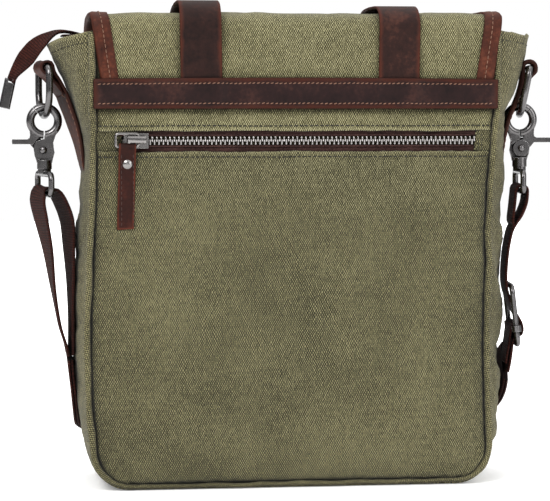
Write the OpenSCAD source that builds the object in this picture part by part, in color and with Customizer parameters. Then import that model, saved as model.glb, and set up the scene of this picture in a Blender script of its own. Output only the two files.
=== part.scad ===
// Vertical messenger bag: canvas body with a thrown-over flap, leather trim,
// two zips, two buckled closure straps and a clip-on webbing shoulder strap.
// Millimetres. +Z up, +X to the wearer's right when the back panel faces the
// viewer, +Y from the back panel towards the flap's front. Origin on the floor
// at the centre of the base.

/* [Body] */
// Width between the side seams
body_w = 266; // [262:1:270]
// Depth from the outer face of the back to the outer face of the front
body_d = 80; // [78:1:84]
// Height of the top hem of the panels
body_h = 302; // [300:1:304]
// Canvas thickness
cloth = 2; // [1.6:0.1:2]
// Corner radius at the bottom of the panels
corner_r = 22; // [18:1:24]

/* [Leather] */
// Width of the closure straps
strap_w = 27; // [24:0.5:28]
// Distance of each closure strap from the centre line
strap_x = 65; // [55:1:75]
// Height of the stitched band across the back
band_h = 19; // [16:0.5:22]

/* [Back zip] */
// Height of the zip's centre line
zip_z = 230.5; // [229:0.5:231.5]
// Half the length of the zip window
zip_half = 117.5; // [112:0.5:120]
// Tooth spacing on one side
pitch = 2.9; // [2.8:0.1:4]

/* [Shoulder strap] */
// Webbing width
web_w = 36; // [32:1:37]
// Webbing thickness
web_t = 1.8; // [1.4:0.1:1.9]
// Ring wire radius
ring_r = 2.3; // [2:0.1:2.3]
// Tilt of the right ring at rest
tilt_r = 10.8; // [9:0.1:12]

/* [Hidden] */
$fn = 40;
hw = body_w / 2;
hd = body_d / 2;
z0 = 4.2;                       // the panels stand on their rolled seams
canvas_c = [0.42, 0.42, 0.28];
leather_c = [0.30, 0.14, 0.10];
metal_c = [0.42, 0.41, 0.40];
lining_c = [0.33, 0.30, 0.22];
web_c = [0.26, 0.11, 0.08];
ring_x = 166;                   // right ring's bar
ring_xl = 163.7;                // left ring's bar
ring_turn = 10;                 // both rings hang turned a little about the vertical
sling_l = 10; sling_r = -6;     // and so do the two strap ends
flap_dx = 2;                    // the flap sits a little off centre
ring_z = 278.5;
ring_drop = 31.9;               // bar to the middle of the lower bow
hook_xr = ring_x - ring_drop * sin(tilt_r);
lift_r = ring_drop * (1 - cos(tilt_r));
hook_z = ring_z - ring_drop - 3.4;
link_x = -104; link_y = -43.7; link_z = 226.6;

// ---------- helpers ----------
function sx(s) = s*strap_x + 1.5;
function unit(v) = v / norm(v);
function cr(a, b, c, d, t) = 0.5 * (2*b + (c-a)*t + (2*a - 5*b + 4*c - d)*t*t + (3*b - a - 3*c + d)*t*t*t);
function spline(P, k) = let(n = len(P)) concat([for (i = [0:n-2]) for (j = [0:k-1]) cr(P[max(i-1,0)], P[i], P[i+1], P[min(i+2,n-1)], j/k)], [P[n-1]]);
function nrm2(a, b) = let(d = b - a) [-d[1], d[0]] / norm(d);
function strip_pts(P, t) = let(n = len(P), N = [for (i = [0:n-1]) nrm2(P[max(i-1,0)], P[min(i+1,n-1)])])
  concat([for (i = [0:n-1]) P[i] + N[i]*t/2], [for (i = [n-1:-1:0]) P[i] - N[i]*t/2]);
function table(T, z) = let(k = [for (i = [0:len(T)-2]) if (z >= T[i][0] && z <= T[i+1][0]) i][0])
  T[k][1] + (T[k+1][1] - T[k][1]) * (z - T[k][0]) / (T[k+1][0] - T[k][0]);

// 2D profile in (x, z), extruded from y0 to y1
module along_y(y0, y1) translate([0, y1, 0]) rotate([90, 0, 0]) linear_extrude(y1 - y0) children();
// 2D profile in (y, z), extruded from x0 to x1
module along_x(x0, x1) translate([x0, 0, 0]) rotate([90, 0, 90]) linear_extrude(x1 - x0) children();
module box(a, b) translate(a) cube(b - a);
module tombstone(w, h, r) intersection() {
  translate([-w/2, 0]) square([w, h]);
  union() {
    translate([-w/2, r]) square([w, h + r]);
    translate([-w/2 + r, 0]) square([w - 2*r, r + 1]);
    for (s = [-1, 1]) translate([s*(w/2 - r), r]) circle(r);
  }
}
// a solid between two grids of points, m rows by n columns
module sheet(A, B) {
  m = len(A); n = len(A[0]); o = m*n;
  pts = concat([for (r = A) for (p = r) p], [for (r = B) for (p = r) p]);
  quads = concat(
    [for (i = [0:m-2]) for (j = [0:n-2]) [i*n+j, i*n+j+1, (i+1)*n+j+1, (i+1)*n+j]],
    [for (i = [0:m-2]) for (j = [0:n-2]) [o+(i+1)*n+j, o+(i+1)*n+j+1, o+i*n+j+1, o+i*n+j]],
    [for (i = [0:m-2]) [i*n, (i+1)*n, o+(i+1)*n, o+i*n]],
    [for (i = [0:m-2]) [(i+1)*n+n-1, i*n+n-1, o+i*n+n-1, o+(i+1)*n+n-1]],
    [for (j = [0:n-2]) [j+1, j, o+j, o+j+1]],
    [for (j = [0:n-2]) [(m-1)*n+j, (m-1)*n+j+1, o+(m-1)*n+j+1, o+(m-1)*n+j]]);
  polyhedron(points = pts, faces = [for (q = quads) for (h = [0, 1]) h == 0 ? [q[0], q[1], q[2]] : [q[0], q[2], q[3]]]);
}
// a flat ribbon swept along P, with its width along W
module ribbon(P, W, w, t) {
  n = len(P);
  T = [for (i = [0:n-1]) unit(P[min(i+1,n-1)] - P[max(i-1,0)])];
  N = [for (i = [0:n-1]) unit(cross(T[i], W[i]))];
  V = [for (i = [0:n-1]) unit(cross(N[i], T[i]))];
  sheet([for (i = [0:n-1]) [for (s = [-1, 1]) P[i] + V[i]*s*w/2 + N[i]*t/2]],
        [for (i = [0:n-1]) [for (s = [-1, 1]) P[i] + V[i]*s*w/2 - N[i]*t/2]]);
}
// rounded rectangle of round wire: width along X, height along Z, centred on the origin
module wire_rect(w, h, r, bend) union() {
  for (s = [-1, 1]) {
    translate([-w/2 + bend, 0, s*h/2]) rotate([0, 90, 0]) cylinder(r = r, h = w - 2*bend);
    translate([s*w/2, 0, -h/2 + bend]) cylinder(r = r, h = h - 2*bend);
    for (u = [-1, 1]) translate([s*(w/2 - bend), 0, u*(h/2 - bend)]) rotate([90, 0, 0])
      rotate([0, 0, s > 0 ? (u > 0 ? 0 : -90) : (u > 0 ? 90 : 180)]) rotate_extrude(angle = 90) translate([bend, 0]) circle(r);
  }
}
// one comb of zip teeth along X: spine at b0..b1, teeth reach to b2 (in the second axis)
function comb(x0, n, p, w, b1, b0, b2) = concat([[x0 - p, b0], [x0 - p, b1]],
  [for (i = [0:n-1]) each [[x0 + i*p - w/2, b1], [x0 + i*p - w/2, b2], [x0 + i*p + w/2, b2], [x0 + i*p + w/2, b1]]],
  [[x0 + n*p, b1], [x0 + n*p, b0]]);

// ---------- canvas body ----------
module back_panel_lower() color(canvas_c) union() {
  along_y(-hd, -hd + cloth) translate([0, z0]) tombstone(body_w, zip_z - 6.95 - z0, corner_r);
  for (s = [-1, 1]) box([s > 0 ? zip_half : -hw, -hd, zip_z - 7], [s > 0 ? hw : -zip_half, -hd + cloth, zip_z + 6.9]);
}
module back_panel_upper() color(canvas_c) box([-hw, -hd, zip_z + 6.95], [hw, -hd + cloth, body_h]);
module front_panel() color(canvas_c) along_y(hd - cloth, hd) translate([0, z0]) tombstone(body_w, body_h - z0, corner_r);
module base_panel() color(canvas_c) along_y(-hd + 3.1, hd - 3.1) difference() {
  tombstone(body_w + 8.4, z0 + corner_r + 0.1, corner_r + 4.2);
  translate([0, cloth]) tombstone(body_w + 8.4 - 2*cloth, z0 + corner_r, corner_r + 4.2 - cloth);
}
bulge_l = [[26.4, 1.5], [40, 4.6], [60, 6.4], [100, 7.2], [125, 9], [158, 9], [185, 6.2], [203, 4], [212, 3.3], [222, 3.6], [233, 5.8], [243, 9.4], [263, 15.8], [281, 22.4], [290, 25.4], [297, 27.6]];
bulge_r = [[26.4, 3.5], [40, 7.6], [60, 9], [90, 8.2], [106, 8.2], [125, 10.6], [150, 10.6], [172, 9.4], [190, 7], [198, 6.2], [206, 6.8], [230, 8.6], [245, 9.8], [257, 14.6], [270, 20], [281, 24], [290, 26.6], [297, 28.4]];
// the side, with its ear standing out at the top; the shoulder strap presses its lower front in
module gusset(s) {
  T = s < 0 ? bulge_l : bulge_r; p = s < 0 ? 1.6 : 2; top = s < 0 ? 293 : 300.5; rise = s < 0 ? 9 : 4.5;
  zs = [26.4, 40, 52, 66, 82, 100, 125, 150, 172, 190, 203, 212, 222, 233, 243, 252, 262, 272, 281, 290, 297];
  ys = [for (j = [-4:4]) j/4 * (hd - cloth - 0.1)];
  f = function(y) 1 - pow(abs(y)/(hd - cloth - 0.1), p);
  q = function(y, z) z < 110 && y > 0 ? 1 - 0.45*min(1, (110 - z)/40)*y/hd : 1;
  zt = function(y, z) z < 262 ? z : z + (z - 262)/35*(top - 297 + rise*pow(abs(y)/(hd - cloth - 0.1), 1.5));
  out = [for (z = zs) [for (y = ys) [s*(hw + table(T, z)*f(y)*q(y, z)), y, zt(y, z)]]];
  inn = [for (z = zs) [for (y = ys) [s*(hw - 1.6 + table(T, z)*f(y)*q(y, z)), y, zt(y, z)]]];
  color(canvas_c) if (s > 0) sheet(out, inn); else sheet(inn, out);
}
module seam_welts() color(canvas_c) for (t = [-1, 1]) translate([0, t*(hd - 1), 0]) union() {
  r = 2; R = corner_r + 2.1; zc = z0 + corner_r;
  for (s = [-1, 1]) {
    translate([s*(hw + 2.1), 0, zc]) cylinder(r = r, h = body_h - 14 - zc);
    translate([s*(hw - corner_r), 0, zc]) rotate([90, 0, 0]) rotate([0, 0, s > 0 ? -90 : 180]) rotate_extrude(angle = 90) translate([R, 0]) circle(r);
  }
  translate([-hw + corner_r, 0, z0 - 2.1]) rotate([0, 90, 0]) cylinder(r = r, h = body_w - 2*corner_r);
}
module front_pocket() color(canvas_c) difference() {
  box([-112, hd + 0.05, 18], [112, hd + 11.5, 190]);
  box([-110, hd + 1.6, 20], [110, hd + 9.6, 191]);
}
module lining() color(lining_c) difference() {
  along_y(-hd + 7, hd - 3.5) translate([0, 5.4]) tombstone(body_w - 5, 290.6, corner_r);
  along_y(-hd + 7.8, hd - 4.3) translate([0, 6.2]) tombstone(body_w - 6.6, 291, corner_r - 0.8);
}
module base_board() color(lining_c) box([-107, -hd + 7, 2.6], [107, hd - 5, 4.8]);
module tablet_sleeve() color(lining_c) difference() {
  box([-117.5, -hd + 8.2, 9.8], [117.5, -hd + 21, 236]);
  box([-115, -hd + 10.2, 12.3], [115, -hd + 17, 237]);
}
module inner_organizer() color(lining_c) difference() {
  box([-112, hd - 9.6, 110], [112, hd - 4.5, 232]);
  for (s = [-1, 1]) box([s > 0 ? 2 : -110, hd - 8.4, 112], [s > 0 ? 110 : -2, hd - 5.6, 233]);
}

// ---------- back zip pocket ----------
module back_zip_tapes() color(web_c) for (s = [-1, 1])
  box([-124, -hd + 2.05, s > 0 ? zip_z + 3.4 : zip_z - 15], [124, -hd + 2.95, s > 0 ? zip_z + 15 : zip_z - 3.4]);
module back_zip_teeth() color(metal_c) {
  n = floor(2*zip_half / pitch) - 2;
  along_y(-hd + 0.6, -hd + 3.4) polygon(comb(-zip_half + 3.8, n, pitch, 1.6, zip_z - 2.6, zip_z - 3.35, zip_z - 0.35));
  along_y(-hd + 0.6, -hd + 3.4) polygon(comb(-zip_half + 3.8 + pitch/2, n, pitch, 1.6, zip_z + 2.6, zip_z + 3.35, zip_z + 0.35));
}
module back_pocket_bag() color(lining_c) along_x(-118, 118) polygon([
  [-hd + 2.1, zip_z - 15.2], [-hd + 2.7, zip_z - 15.2], [-hd + 2.7, 70.6], [-hd + 6, 70.6], [-hd + 6, zip_z + 15],
  [-hd + 6.6, zip_z + 15], [-hd + 6.6, 70], [-hd + 2.1, 70]]);
module back_zip_slider() color(metal_c) translate([-105.5, -hd, zip_z]) union() {
  // outer shield, flanges, thin throat web and inner shield
  difference() {
    along_y(-1.3, 0.4) polygon([[-8, -3.6], [-5.5, -5], [8, -5], [8, 5], [-5.5, 5], [-8, 3.6]]);
    box([-20, -0.1, -3.5], [20, 1, 3.5]);
  }
  for (s = [-1, 1]) translate([0, 0, s*4.35]) box([-5.5, -1.3, -0.65], [8, 1.7, 0.65]);
  box([-7.5, -0.2, -0.2], [7.5, 3.9, 0.2]);
  along_y(3.8, 4.8) polygon([[-8, -3.6], [-5.5, -5], [8, -5], [8, 5], [-5.5, 5], [-8, 3.6]]);
  // bridge that the pull link runs under
  along_x(-5.6, 6.2) polygon([[-4.8, -1.6], [-5.5, -1.6], [-6.1, -1], [-6.35, 0], [-6.35, 1.4], [-6.1, 2.4], [-5.5, 3], [-4.8, 3]]);
  box([-5.6, -6, -1.6], [-4.2, -1.2, 1.6]);
  box([4.8, -6, -1.6], [6.2, -1.2, 1.6]);
}
module back_pull_link() color(metal_c) translate([link_x - 7.5, link_y, link_z + 4.3]) wire_rect(15, 8.6, 0.9, 1.8);
module back_pull_leather() color(leather_c) difference() {
  along_x(link_x - 13.1, link_x - 1.9) difference() {
    union() {
      translate([link_y, link_z]) circle(2.1);
      polygon([[link_y - 1.3, link_z], [link_y - 1.3, 170.5], [link_y + 1.3, 170.5], [link_y + 1.3, link_z]]);
    }
    translate([link_y, link_z]) circle(1);
  }
  translate([link_x - 7.5, link_y, 215.5]) rotate([90, 0, 0]) cylinder(r = 1.5, h = 10, center = true);
  // slanted foot
  translate([0, link_y + 10, 0]) rotate([90, 0, 0]) linear_extrude(20) polygon([[link_x - 20, 165], [link_x, 165], [link_x, 173], [link_x - 13, 170.3]]);
}
module back_pull_rivet() color(metal_c) translate([link_x - 7.5, link_y, 215.5]) rotate([90, 0, 0]) union() {
  translate([0, 0, -1.9]) cylinder(r = 1.5, h = 3.4);
  translate([0, 0, -1.85]) cylinder(r = 3.4, h = 0.5);
  intersection() { translate([0, 0, 1.35]) cylinder(r = 3.5, h = 3); translate([0, 0, -2.0]) sphere(r = 4.85); }
}

// ---------- top closure ----------
module top_closure_panels() color(canvas_c) for (s = [-1, 1])
  box([-hw + 2.2, s > 0 ? 15 : -hd + 2.4, 297.4], [hw - 2.2, s > 0 ? hd - 2.4 : -15, 298.6]);
module top_zip_tapes() color(web_c) for (s = [-1, 1]) box([-152, s > 0 ? 3.5 : -15.5, 298.7], [hw + 4, s > 0 ? 15.5 : -3.5, 299.6]);
module top_zip_teeth() color(metal_c) {
  n = floor((body_w - 6) / pitch);
  translate([0, 0, 297.75]) linear_extrude(2.8) polygon(comb(-hw + 3, n, pitch, 1.6, -2.6, -3.35, -0.35));
  translate([0, 0, 297.75]) linear_extrude(2.8) polygon(comb(-hw + 3 + pitch/2, n, pitch, 1.6, 2.6, 3.35, 0.35));
}
module top_zip_slider() color(metal_c) translate([-118, 0, 299.15]) union() {
  difference() { box([-8, -5.2, 1.5], [8, 5.2, 3.2]); box([-9, -3.6, 1], [9, 3.6, 1.8]); }
  box([-7.5, -0.2, -2], [7.5, 0.2, 2]);
  box([-8, -5.2, -3], [8, 5.2, -2]);
  for (s = [-1, 1]) translate([0, s*4.5, 0]) box([-8, -0.6, 0.7], [8, 0.6, 3.2]);
  // ears that carry the pull
  for (s = [-1, 1]) difference() {
    translate([0, s*2.4, 0]) box([2, -0.7, 3], [6, 0.7, 6.8]);
    translate([4, 0, 4.9]) rotate([90, 0, 0]) cylinder(r = 0.85, h = 20, center = true);
  }
}
module top_zip_pull() color(metal_c) translate([-114, 0, 304.05]) union() {
  rotate([90, 0, 0]) cylinder(r = 0.8, h = 6.4, center = true);
  rotate([90, 0, 0]) cylinder(r = 1.4, h = 3.0, center = true);
  difference() { box([0, -1.5, -0.8], [24, 1.5, 0.8]); translate([30, 0, 0]) cylinder(r = 2, h = 5, center = true); }
  translate([24, 0, -0.8]) difference() { cylinder(r = 4, h = 1.6); translate([0, 0, -1]) cylinder(r = 1.8, h = 4); }
}
tail_path = spline([[-152.4, 299.6], [-160, 301.2], [-167, 300], [-174.4, 294.5], [-180.4, 286], [-184.2, 277], [-185.6, 270.4]], 3);
module zip_tail() color(web_c) along_y(-6, 6) polygon(strip_pts(tail_path, 1.8));
module tail_ferrule() color(metal_c) translate([-185.8, 0, 271.2]) rotate([0, 12.5, 0]) difference() {
  translate([0, 0, -20]) linear_extrude(20) union() { square([5.8, 7.6], center = true); square([7.4, 5.8], center = true); }
  box([-1.2, -6.2, -2.5], [1.3, 6.2, 1]);
}

// ---------- flap ----------
rear_edge = function(z) 129 + (z - 270.6)*7.2/43.4;
flap_path = spline([[-20, 313.9], [-10, 314], [10, 314], [26, 313.8], [36, 312.6]], 3);
rear_path = spline([[-41.1, 298], [-41.1, 303.5], [-40, 308.2], [-36, 312], [-29, 313.6], [-21.3, 313.9]], 3);
strap_path = spline([[-21.8, 320.5], [-5, 320.6], [18, 319.6], [36, 316.2]], 3);
strap_rear = spline([[-43.35, 298], [-43.3, 303.5], [-42, 310.5], [-37.5, 316.6], [-30.5, 319.6], [-23, 320.4]], 3);
module flap_rear() translate([flap_dx, 0, 0]) color(canvas_c) union() {
  along_y(-hd - 2.1, -hd - 0.1) polygon([[-rear_edge(253) + 1.2, 253], [rear_edge(253) - 1.2, 253], [rear_edge(299) - 1.2, 299], [-rear_edge(299) + 1.2, 299]]);
  along_x(-rear_edge(299) + 1.2, rear_edge(299) - 1.2) polygon(strip_pts(rear_path, 2));
}
module flap_binding_rear() translate([flap_dx, 0, 0]) color(leather_c) for (s = [-1, 1]) {
  along_y(-hd - 3.4, -hd - 2.25) polygon([[s*rear_edge(270.8), 270.8], [s*rear_edge(303), 303], [s*(rear_edge(303) - 8), 303], [s*(rear_edge(270.8) - 11.8), 270.8]]);
  scale([s, 1, 1]) difference() {
    along_x(125.2, 136.3) polygon(strip_pts([for (p = rear_path) if (p[1] > 298.5) p], 4.4));
    along_x(124, rear_edge(299) - 1.1) polygon(strip_pts(concat([rear_path[0] - [0, 1]], rear_path, [rear_path[len(rear_path)-1] + [2, 0]]), 2.3));
    box([120, -hd - 0.1, 290], [140, -hd + 8, body_h + 0.4]);
  }
}
module closure_straps_rear() color(leather_c) for (s = [-1, 1]) union() {
  box([sx(s) - strap_w/2, -hd - 4.4, 256], [sx(s) + strap_w/2, -hd - 2.15, 299]);
  along_x(sx(s) - strap_w/2, sx(s) + strap_w/2) polygon(strip_pts(strap_rear, 2.2));
}
module back_band() color(leather_c) difference() {
  box([-hw - 0.4, -hd - 5.3, 270.6 - band_h], [hw + 0.4, -hd - 2.15, 270.6]);
  for (s = [-1, 1]) box([sx(s) - strap_w/2 - 0.1, -hd - 4.45, 255.9], [sx(s) + strap_w/2 + 0.1, -hd, 272]);
}
module flap_top() translate([flap_dx, 0, 0]) color(canvas_c) along_x(-135, 135) polygon(strip_pts(flap_path, 2));
module flap_binding_top() translate([flap_dx, 0, 0]) color(leather_c) for (s = [-1, 1]) scale([s, 1, 1]) difference() {
  along_x(125.2, 136.3) polygon(strip_pts(flap_path, 4.4));
  along_x(124, 135.1) polygon(strip_pts(concat([flap_path[0] - [2, 0]], flap_path, [flap_path[len(flap_path)-1] + [2, -0.4]]), 2.3));
}
module closure_straps_top() color(leather_c) for (s = [-1, 1]) along_x(sx(s) - strap_w/2, sx(s) + strap_w/2) polygon(strip_pts(strap_path, 2.2));
module flap_front() translate([flap_dx, 0, 0]) color(canvas_c) along_y(53, 55) translate([0, 106.2]) tombstone(270, 189.8, 27);
module flap_binding_front() translate([flap_dx, 0, 0]) color(leather_c) difference() {
  along_y(51.7, 56.3) difference() {
    translate([0, 105]) tombstone(272.6, 191, 28);
    translate([0, 116]) tombstone(250.4, 190, 19);
  }
  along_y(52.95, 55.05) translate([0, 106.1]) tombstone(270.2, 195, 27);
}
module closure_straps_front() color(leather_c) for (s = [-1, 1]) translate([sx(s), 0, 0]) difference() {
  along_x(-strap_w/2, strap_w/2) polygon([[56.35, 296], [56.35, 112], [62, 84], [62, 76], [58.9, 66], [58.9, 52],
    [61.1, 52], [61.1, 65.4], [64.25, 75.4], [64.25, 84.2], [58.6, 112.3], [58.6, 296]]);
  box([-1.9, 50, 74.6], [1.9, 70, 91]);
  for (z = [118, 130, 142]) translate([0, 50, z]) rotate([-90, 0, 0]) cylinder(r = 1.6, h = 20);
  // tapered tip
  for (u = [-1, 1]) along_y(50, 70) polygon([[u*5, 51], [u*14, 51], [u*14, 60]]);
}
heel = [58.6, 77]; toe_a = 12.3;
module buckle_frames() color(metal_c) for (s = [-1, 1]) translate([sx(s), heel[0], heel[1]]) rotate([-toe_a, 0, 0]) translate([0, 0, 11.25]) wire_rect(32, 22.5, 1.5, 4);
module prong(s) color(metal_c) along_x(sx(s) - 1.2, sx(s) + 1.2) difference() {
  union() {
    translate(heel) circle(2.9);
    polygon([[heel[0] + 0.6, heel[1] + 2.6], [heel[0] + 2.6, heel[1] + 0.8], [66.3, 85.3], [67.3, 88], [67.3, 101.5], [65.2, 101.5], [65.2, 88.6], [64.5, 86.8]]);
  }
  translate(heel) circle(1.56);
}
module buckle_chapes() color(leather_c) for (s = [-1, 1]) translate([sx(s), 0, 0]) difference() {
  along_x(-strap_w/2 + 1.6, strap_w/2 - 1.6) difference() {
    union() { translate(heel) circle(3.25); polygon([[55.35, 77], [58.55, 77], [58.55, 38], [55.35, 38]]); }
    translate(heel) circle(1.65);
  }
  box([-1.7, 50, 72.5], [1.7, 70, 90]);
  for (u = [-1, 1]) along_y(50, 70) polygon([[u*6, 37], [u*14, 37], [u*14, 43]]);
}
module buckle_keepers() color(leather_c) for (s = [-1, 1]) translate([sx(s), 0, 0]) difference() {
  box([-strap_w/2 - 1.8, 53.7, 60.5], [strap_w/2 + 1.8, 64.2, 68.5]);
  box([-strap_w/2 - 0.3, 55.2, 60], [strap_w/2 + 0.3, 62.7, 69]);
}
module snap_studs() color(metal_c) for (s = [-1, 1]) translate([sx(s), 0, 49]) rotate([-90, 0, 0]) union() {
  translate([0, 0, 53.45]) cylinder(r = 8.5, h = 1.85);
  translate([0, 0, 52.0]) cylinder(r = 2.6, h = 1.6);
}
module snap_sockets() color(metal_c) for (s = [-1, 1]) translate([sx(s), 0, 49]) rotate([-90, 0, 0]) difference() {
  translate([0, 0, hd + 11.55]) cylinder(r = 8.5, h = 1.8);
  translate([0, 0, hd + 11.9]) cylinder(r = 3.6, h = 3);
}

// ---------- side tabs and rings ----------
tab_l = [[137.2, 208], [137.3, 219], [139.9, 233], [143.4, 243], [150.2, 263], [157.4, 276.5]];
tab_r = [[140.9, 209], [142.6, 230], [143.5, 244.8], [148.8, 257], [154.4, 269], [159.2, 276.5]];
module tab(T, x, t) difference() {
  along_y(-11.5, 11.5) union() {
    translate([x, ring_z]) circle(5);
    polygon(concat(T, [[x - 1, ring_z + 4.5], [x + 4, ring_z - 2.3]], [for (i = [len(T)-2:-1:0]) T[i] + [t, -1]]));
  }
  translate([x, 0, ring_z]) rotate([90, 0, -ring_turn]) cylinder(r = ring_r + 0.15, h = 60, center = true);
}
module side_tabs() color(leather_c) { tab(tab_r, ring_x, 3.1); mirror([1, 0, 0]) tab(tab_l, ring_xl, 3.9); }
module dee() union() {
  c = ring_z - ring_drop + 17;
  // drawn about the bar, which lies on the origin along Y
  translate([0, 0, -ring_z]) {
    translate([0, 12, ring_z]) rotate([90, 0, 0]) cylinder(r = ring_r, h = 24);
    for (s = [-1, 1]) {
      translate([0, s*17, c]) cylinder(r = ring_r, h = ring_z - 5 - c);
      translate([0, s*12, ring_z - 5]) rotate([90, 0, 90]) rotate([0, 0, s > 0 ? 0 : 90]) rotate_extrude(angle = 90) translate([5, 0]) circle(ring_r);
    }
    translate([0, 0, c]) rotate([90, 0, 90]) rotate([0, 0, 180]) rotate_extrude(angle = 180) translate([17, 0]) circle(ring_r);
  }
}
module ring_left() color(metal_c) translate([-ring_xl, 0, ring_z]) rotate([0, 0, ring_turn]) dee();
module ring_right() color(metal_c) translate([ring_x, 0, ring_z]) rotate([0, 0, -ring_turn]) rotate([0, tilt_r, 0]) dee();

// ---------- trigger clips ----------
module turn_left() translate([-ring_xl, 0, 0]) rotate([0, 0, sling_l]) translate([ring_xl, 0, 0]) children();
module turn_right() translate([hook_xr, 0, 0]) rotate([0, 0, sling_r]) translate([-hook_xr, 0, 0]) children();
pin = [-0.7, -19.4];
module at_clip(s) translate([s < 0 ? -ring_xl : hook_xr, 0, hook_z + (s > 0 ? lift_r : 0)]) rotate([0, 0, s > 0 ? 180 : 0]) children();
module ring_arc(a0, a1) rotate([90, 0, 0]) rotate([0, 0, a0]) rotate_extrude(angle = a1 - a0) translate([9.2, 0]) circle(2.7);
module hook() color(metal_c) difference() {
  union() {
    ring_arc(-87, 129.3);
    along_y(-2.4, 2.4) polygon([[1.0, -9.1], [8.2, -6.2], [9.3, -6.6], [7.4, -9.6], [5.8, -14.4], [6.1, -16.6], [4.6, -16.2], [2.6, -14.2], [0.2, -13.2], [0.1, -9.9]]);
    along_y(-2.5, -0.1) polygon([[0.1, -9.6], [8.6, -7.4], [7.4, -9.6], [5.8, -14.4], [6.3, -19], [6.7, -21], [5.6, -25], [5, -28], [-5, -28], [-5.6, -26], [-6.6, -23], [-7.1, -19], [-7, -16.2], [-5.4, -13.5], [-1.7, -12.2], [0, -12]]);
    translate([0, 0, -32]) cylinder(r = 4.9, h = 6);
    translate([0, 0, -27.5]) box([-4.6, -2.5, 0], [4.6, 2.5, 1.7]);
  }
  translate([pin[0], 0, pin[1]]) rotate([90, 0, 0]) cylinder(r = 1.55, h = 20, center = true);
  translate([0, 0, -33]) cylinder(r = 2.5, h = 5);
  translate([0, 0, -29]) cylinder(r = 3.8, h = 2);
}
module trigger() color(metal_c) difference() {
  union() {
    ring_arc(130.7, 267);
    along_y(-2.4, 2.4) polygon([[-0.5, -9.6], [-8.4, -5.6], [-9.7, -6.4], [-9.4, -9.3], [-9.7, -11.2], [-11.3, -12.2], [-21.2, -12.2], [-21.5, -13.8], [-21.2, -15.4], [-9.4, -15.4], [-7.5, -15.9], [-5.8, -13.0], [-2.9, -10.2]]);
    along_y(0.1, 2.4) polygon([[-2.9, -10.2], [-9.4, -9.3], [-9.6, -15.4], [-6.2, -19.4], [-1, -22], [4.2, -17.6], [1.2, -14.2], [-1.6, -13.6]]);
    along_y(0.1, 2.5) translate(pin) circle(5.6);
  }
  translate([pin[0], 0, pin[1]]) rotate([90, 0, 0]) cylinder(r = 1.56, h = 20, center = true);
}
module trigger_pin() color(metal_c) translate([pin[0], 0, pin[1]]) rotate([90, 0, 0]) union() {
  cylinder(r = 1.5, h = 5.6, center = true);
  for (s = [-1, 1]) scale([1, 1, s]) intersection() { translate([0, 0, 2.6]) cylinder(r = 2.4, h = 3); translate([0, 0, 0.9]) sphere(r = 3.0); }
}
// the swivel hangs below the clip; its lower bar carries the webbing
module swivel() color(metal_c) union() {
  translate([0, 0, -34.9]) cylinder(r = 4.4, h = 2.8);
  translate([0, 0, -33]) cylinder(r = 2.45, h = 4.4);
  translate([0, 0, -28.75]) cylinder(r = 3.5, h = 1.4);
  translate([0, 0, -41.85]) rotate([0, 0, 90]) wire_rect(43.4, 13.3, 2, 4);
}
bar_z = hook_z - 48.5;   // middle of the left swivel's lower bar
bar_zr = bar_z + lift_r;

// ---------- webbing ----------
left_path = spline([[-143.2, 97], [-144.6, 132], [-145.7, 158], [-148.8, 178], [-153.4, 190.5], [-157.6, 199.5], [-162.4, 203.9], [-167.2, 201.2], [-168.4, 193], [-165.3, 181], [-159.4, 154], [-154.2, 122], [-148.3, 97]], 3);
module strap_left() color(web_c) along_y(-web_w/2, web_w/2) polygon(strip_pts(left_path, web_t));
// the right end is folded round the swivel bar and sewn; the strap then threads the adjuster
c_bar = [156, 102.3];
right_main = spline([[154, 177], [151.8, 168], [149.8, 154], [149, 141], [149.2, 131], [151, 123.5], [154.8, 114.5], [159.6, 106.4], [160.9, 101.4], [159.4, 98], [156.6, 96.7], [154.6, 94.2], [154, 91], [153.4, 86], [152.4, 78.8]], 3);
module strap_right() color(web_c) along_y(-web_w/2, web_w/2) {
  difference() {
    union() {
      translate([hook_xr, bar_zr]) circle(4.1);
      polygon([[hook_xr - 4, bar_zr], [152.6, 177], [151.6, 172.8], [155.6, 172.2], [hook_xr + 4, bar_zr]]);
      polygon(strip_pts(right_main, web_t));
    }
    translate([hook_xr, bar_zr]) circle(2.2);
  }
  // the strap's other end, sewn round the adjuster's middle bar
  difference() {
    union() { translate(c_bar) circle(3.5); polygon([[152.5, 102.3], [151.2, 92], [149.2, 82], [151, 81.6], [152, 88], [152.7, 95], [154.3, 102.3]]); }
    translate(c_bar) circle(1.75);
  }
}
rail_a = 6.5;
module rails(y) translate([c_bar[0], y, c_bar[1]]) rotate([0, -rail_a, 0]) children();
module adjuster_bar() color(metal_c) union() {
  translate([c_bar[0], 0, c_bar[1]]) rotate([90, 0, 0]) cylinder(r = 1.6, h = 38, center = true);
  for (s = [-1, 1]) rails(s*21.3) difference() { translate([0, 0, -2]) cylinder(r = 3.2, h = 4); translate([0, 0, -3]) cylinder(r = 2, h = 6); }
}
module adjuster_frame() color(metal_c) rails(0) translate([0, 0, 9]) rotate([0, 0, 90]) wire_rect(42.6, 40, 1.85, 5);
lower_pts = spline([[150.4, 7, 62.2], [148.4, 19.5, 57.2], [146.5, 33, 54], [143, 44.5, 51], [132, 57, 43], [112, 67, 34.5], [75, 73, 25.5], [30, 74.5, 20.5], [-20, 74.5, 20.5], [-65, 73.5, 26], [-100, 69, 35.5], [-122, 60, 42.5], [-135, 52, 48], [-141, 41.5, 52.5], [-142.2, 29.5, 58.5], [-143.2, 17.5, 68], [-144.8, 7.5, 81]], 3);
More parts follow.
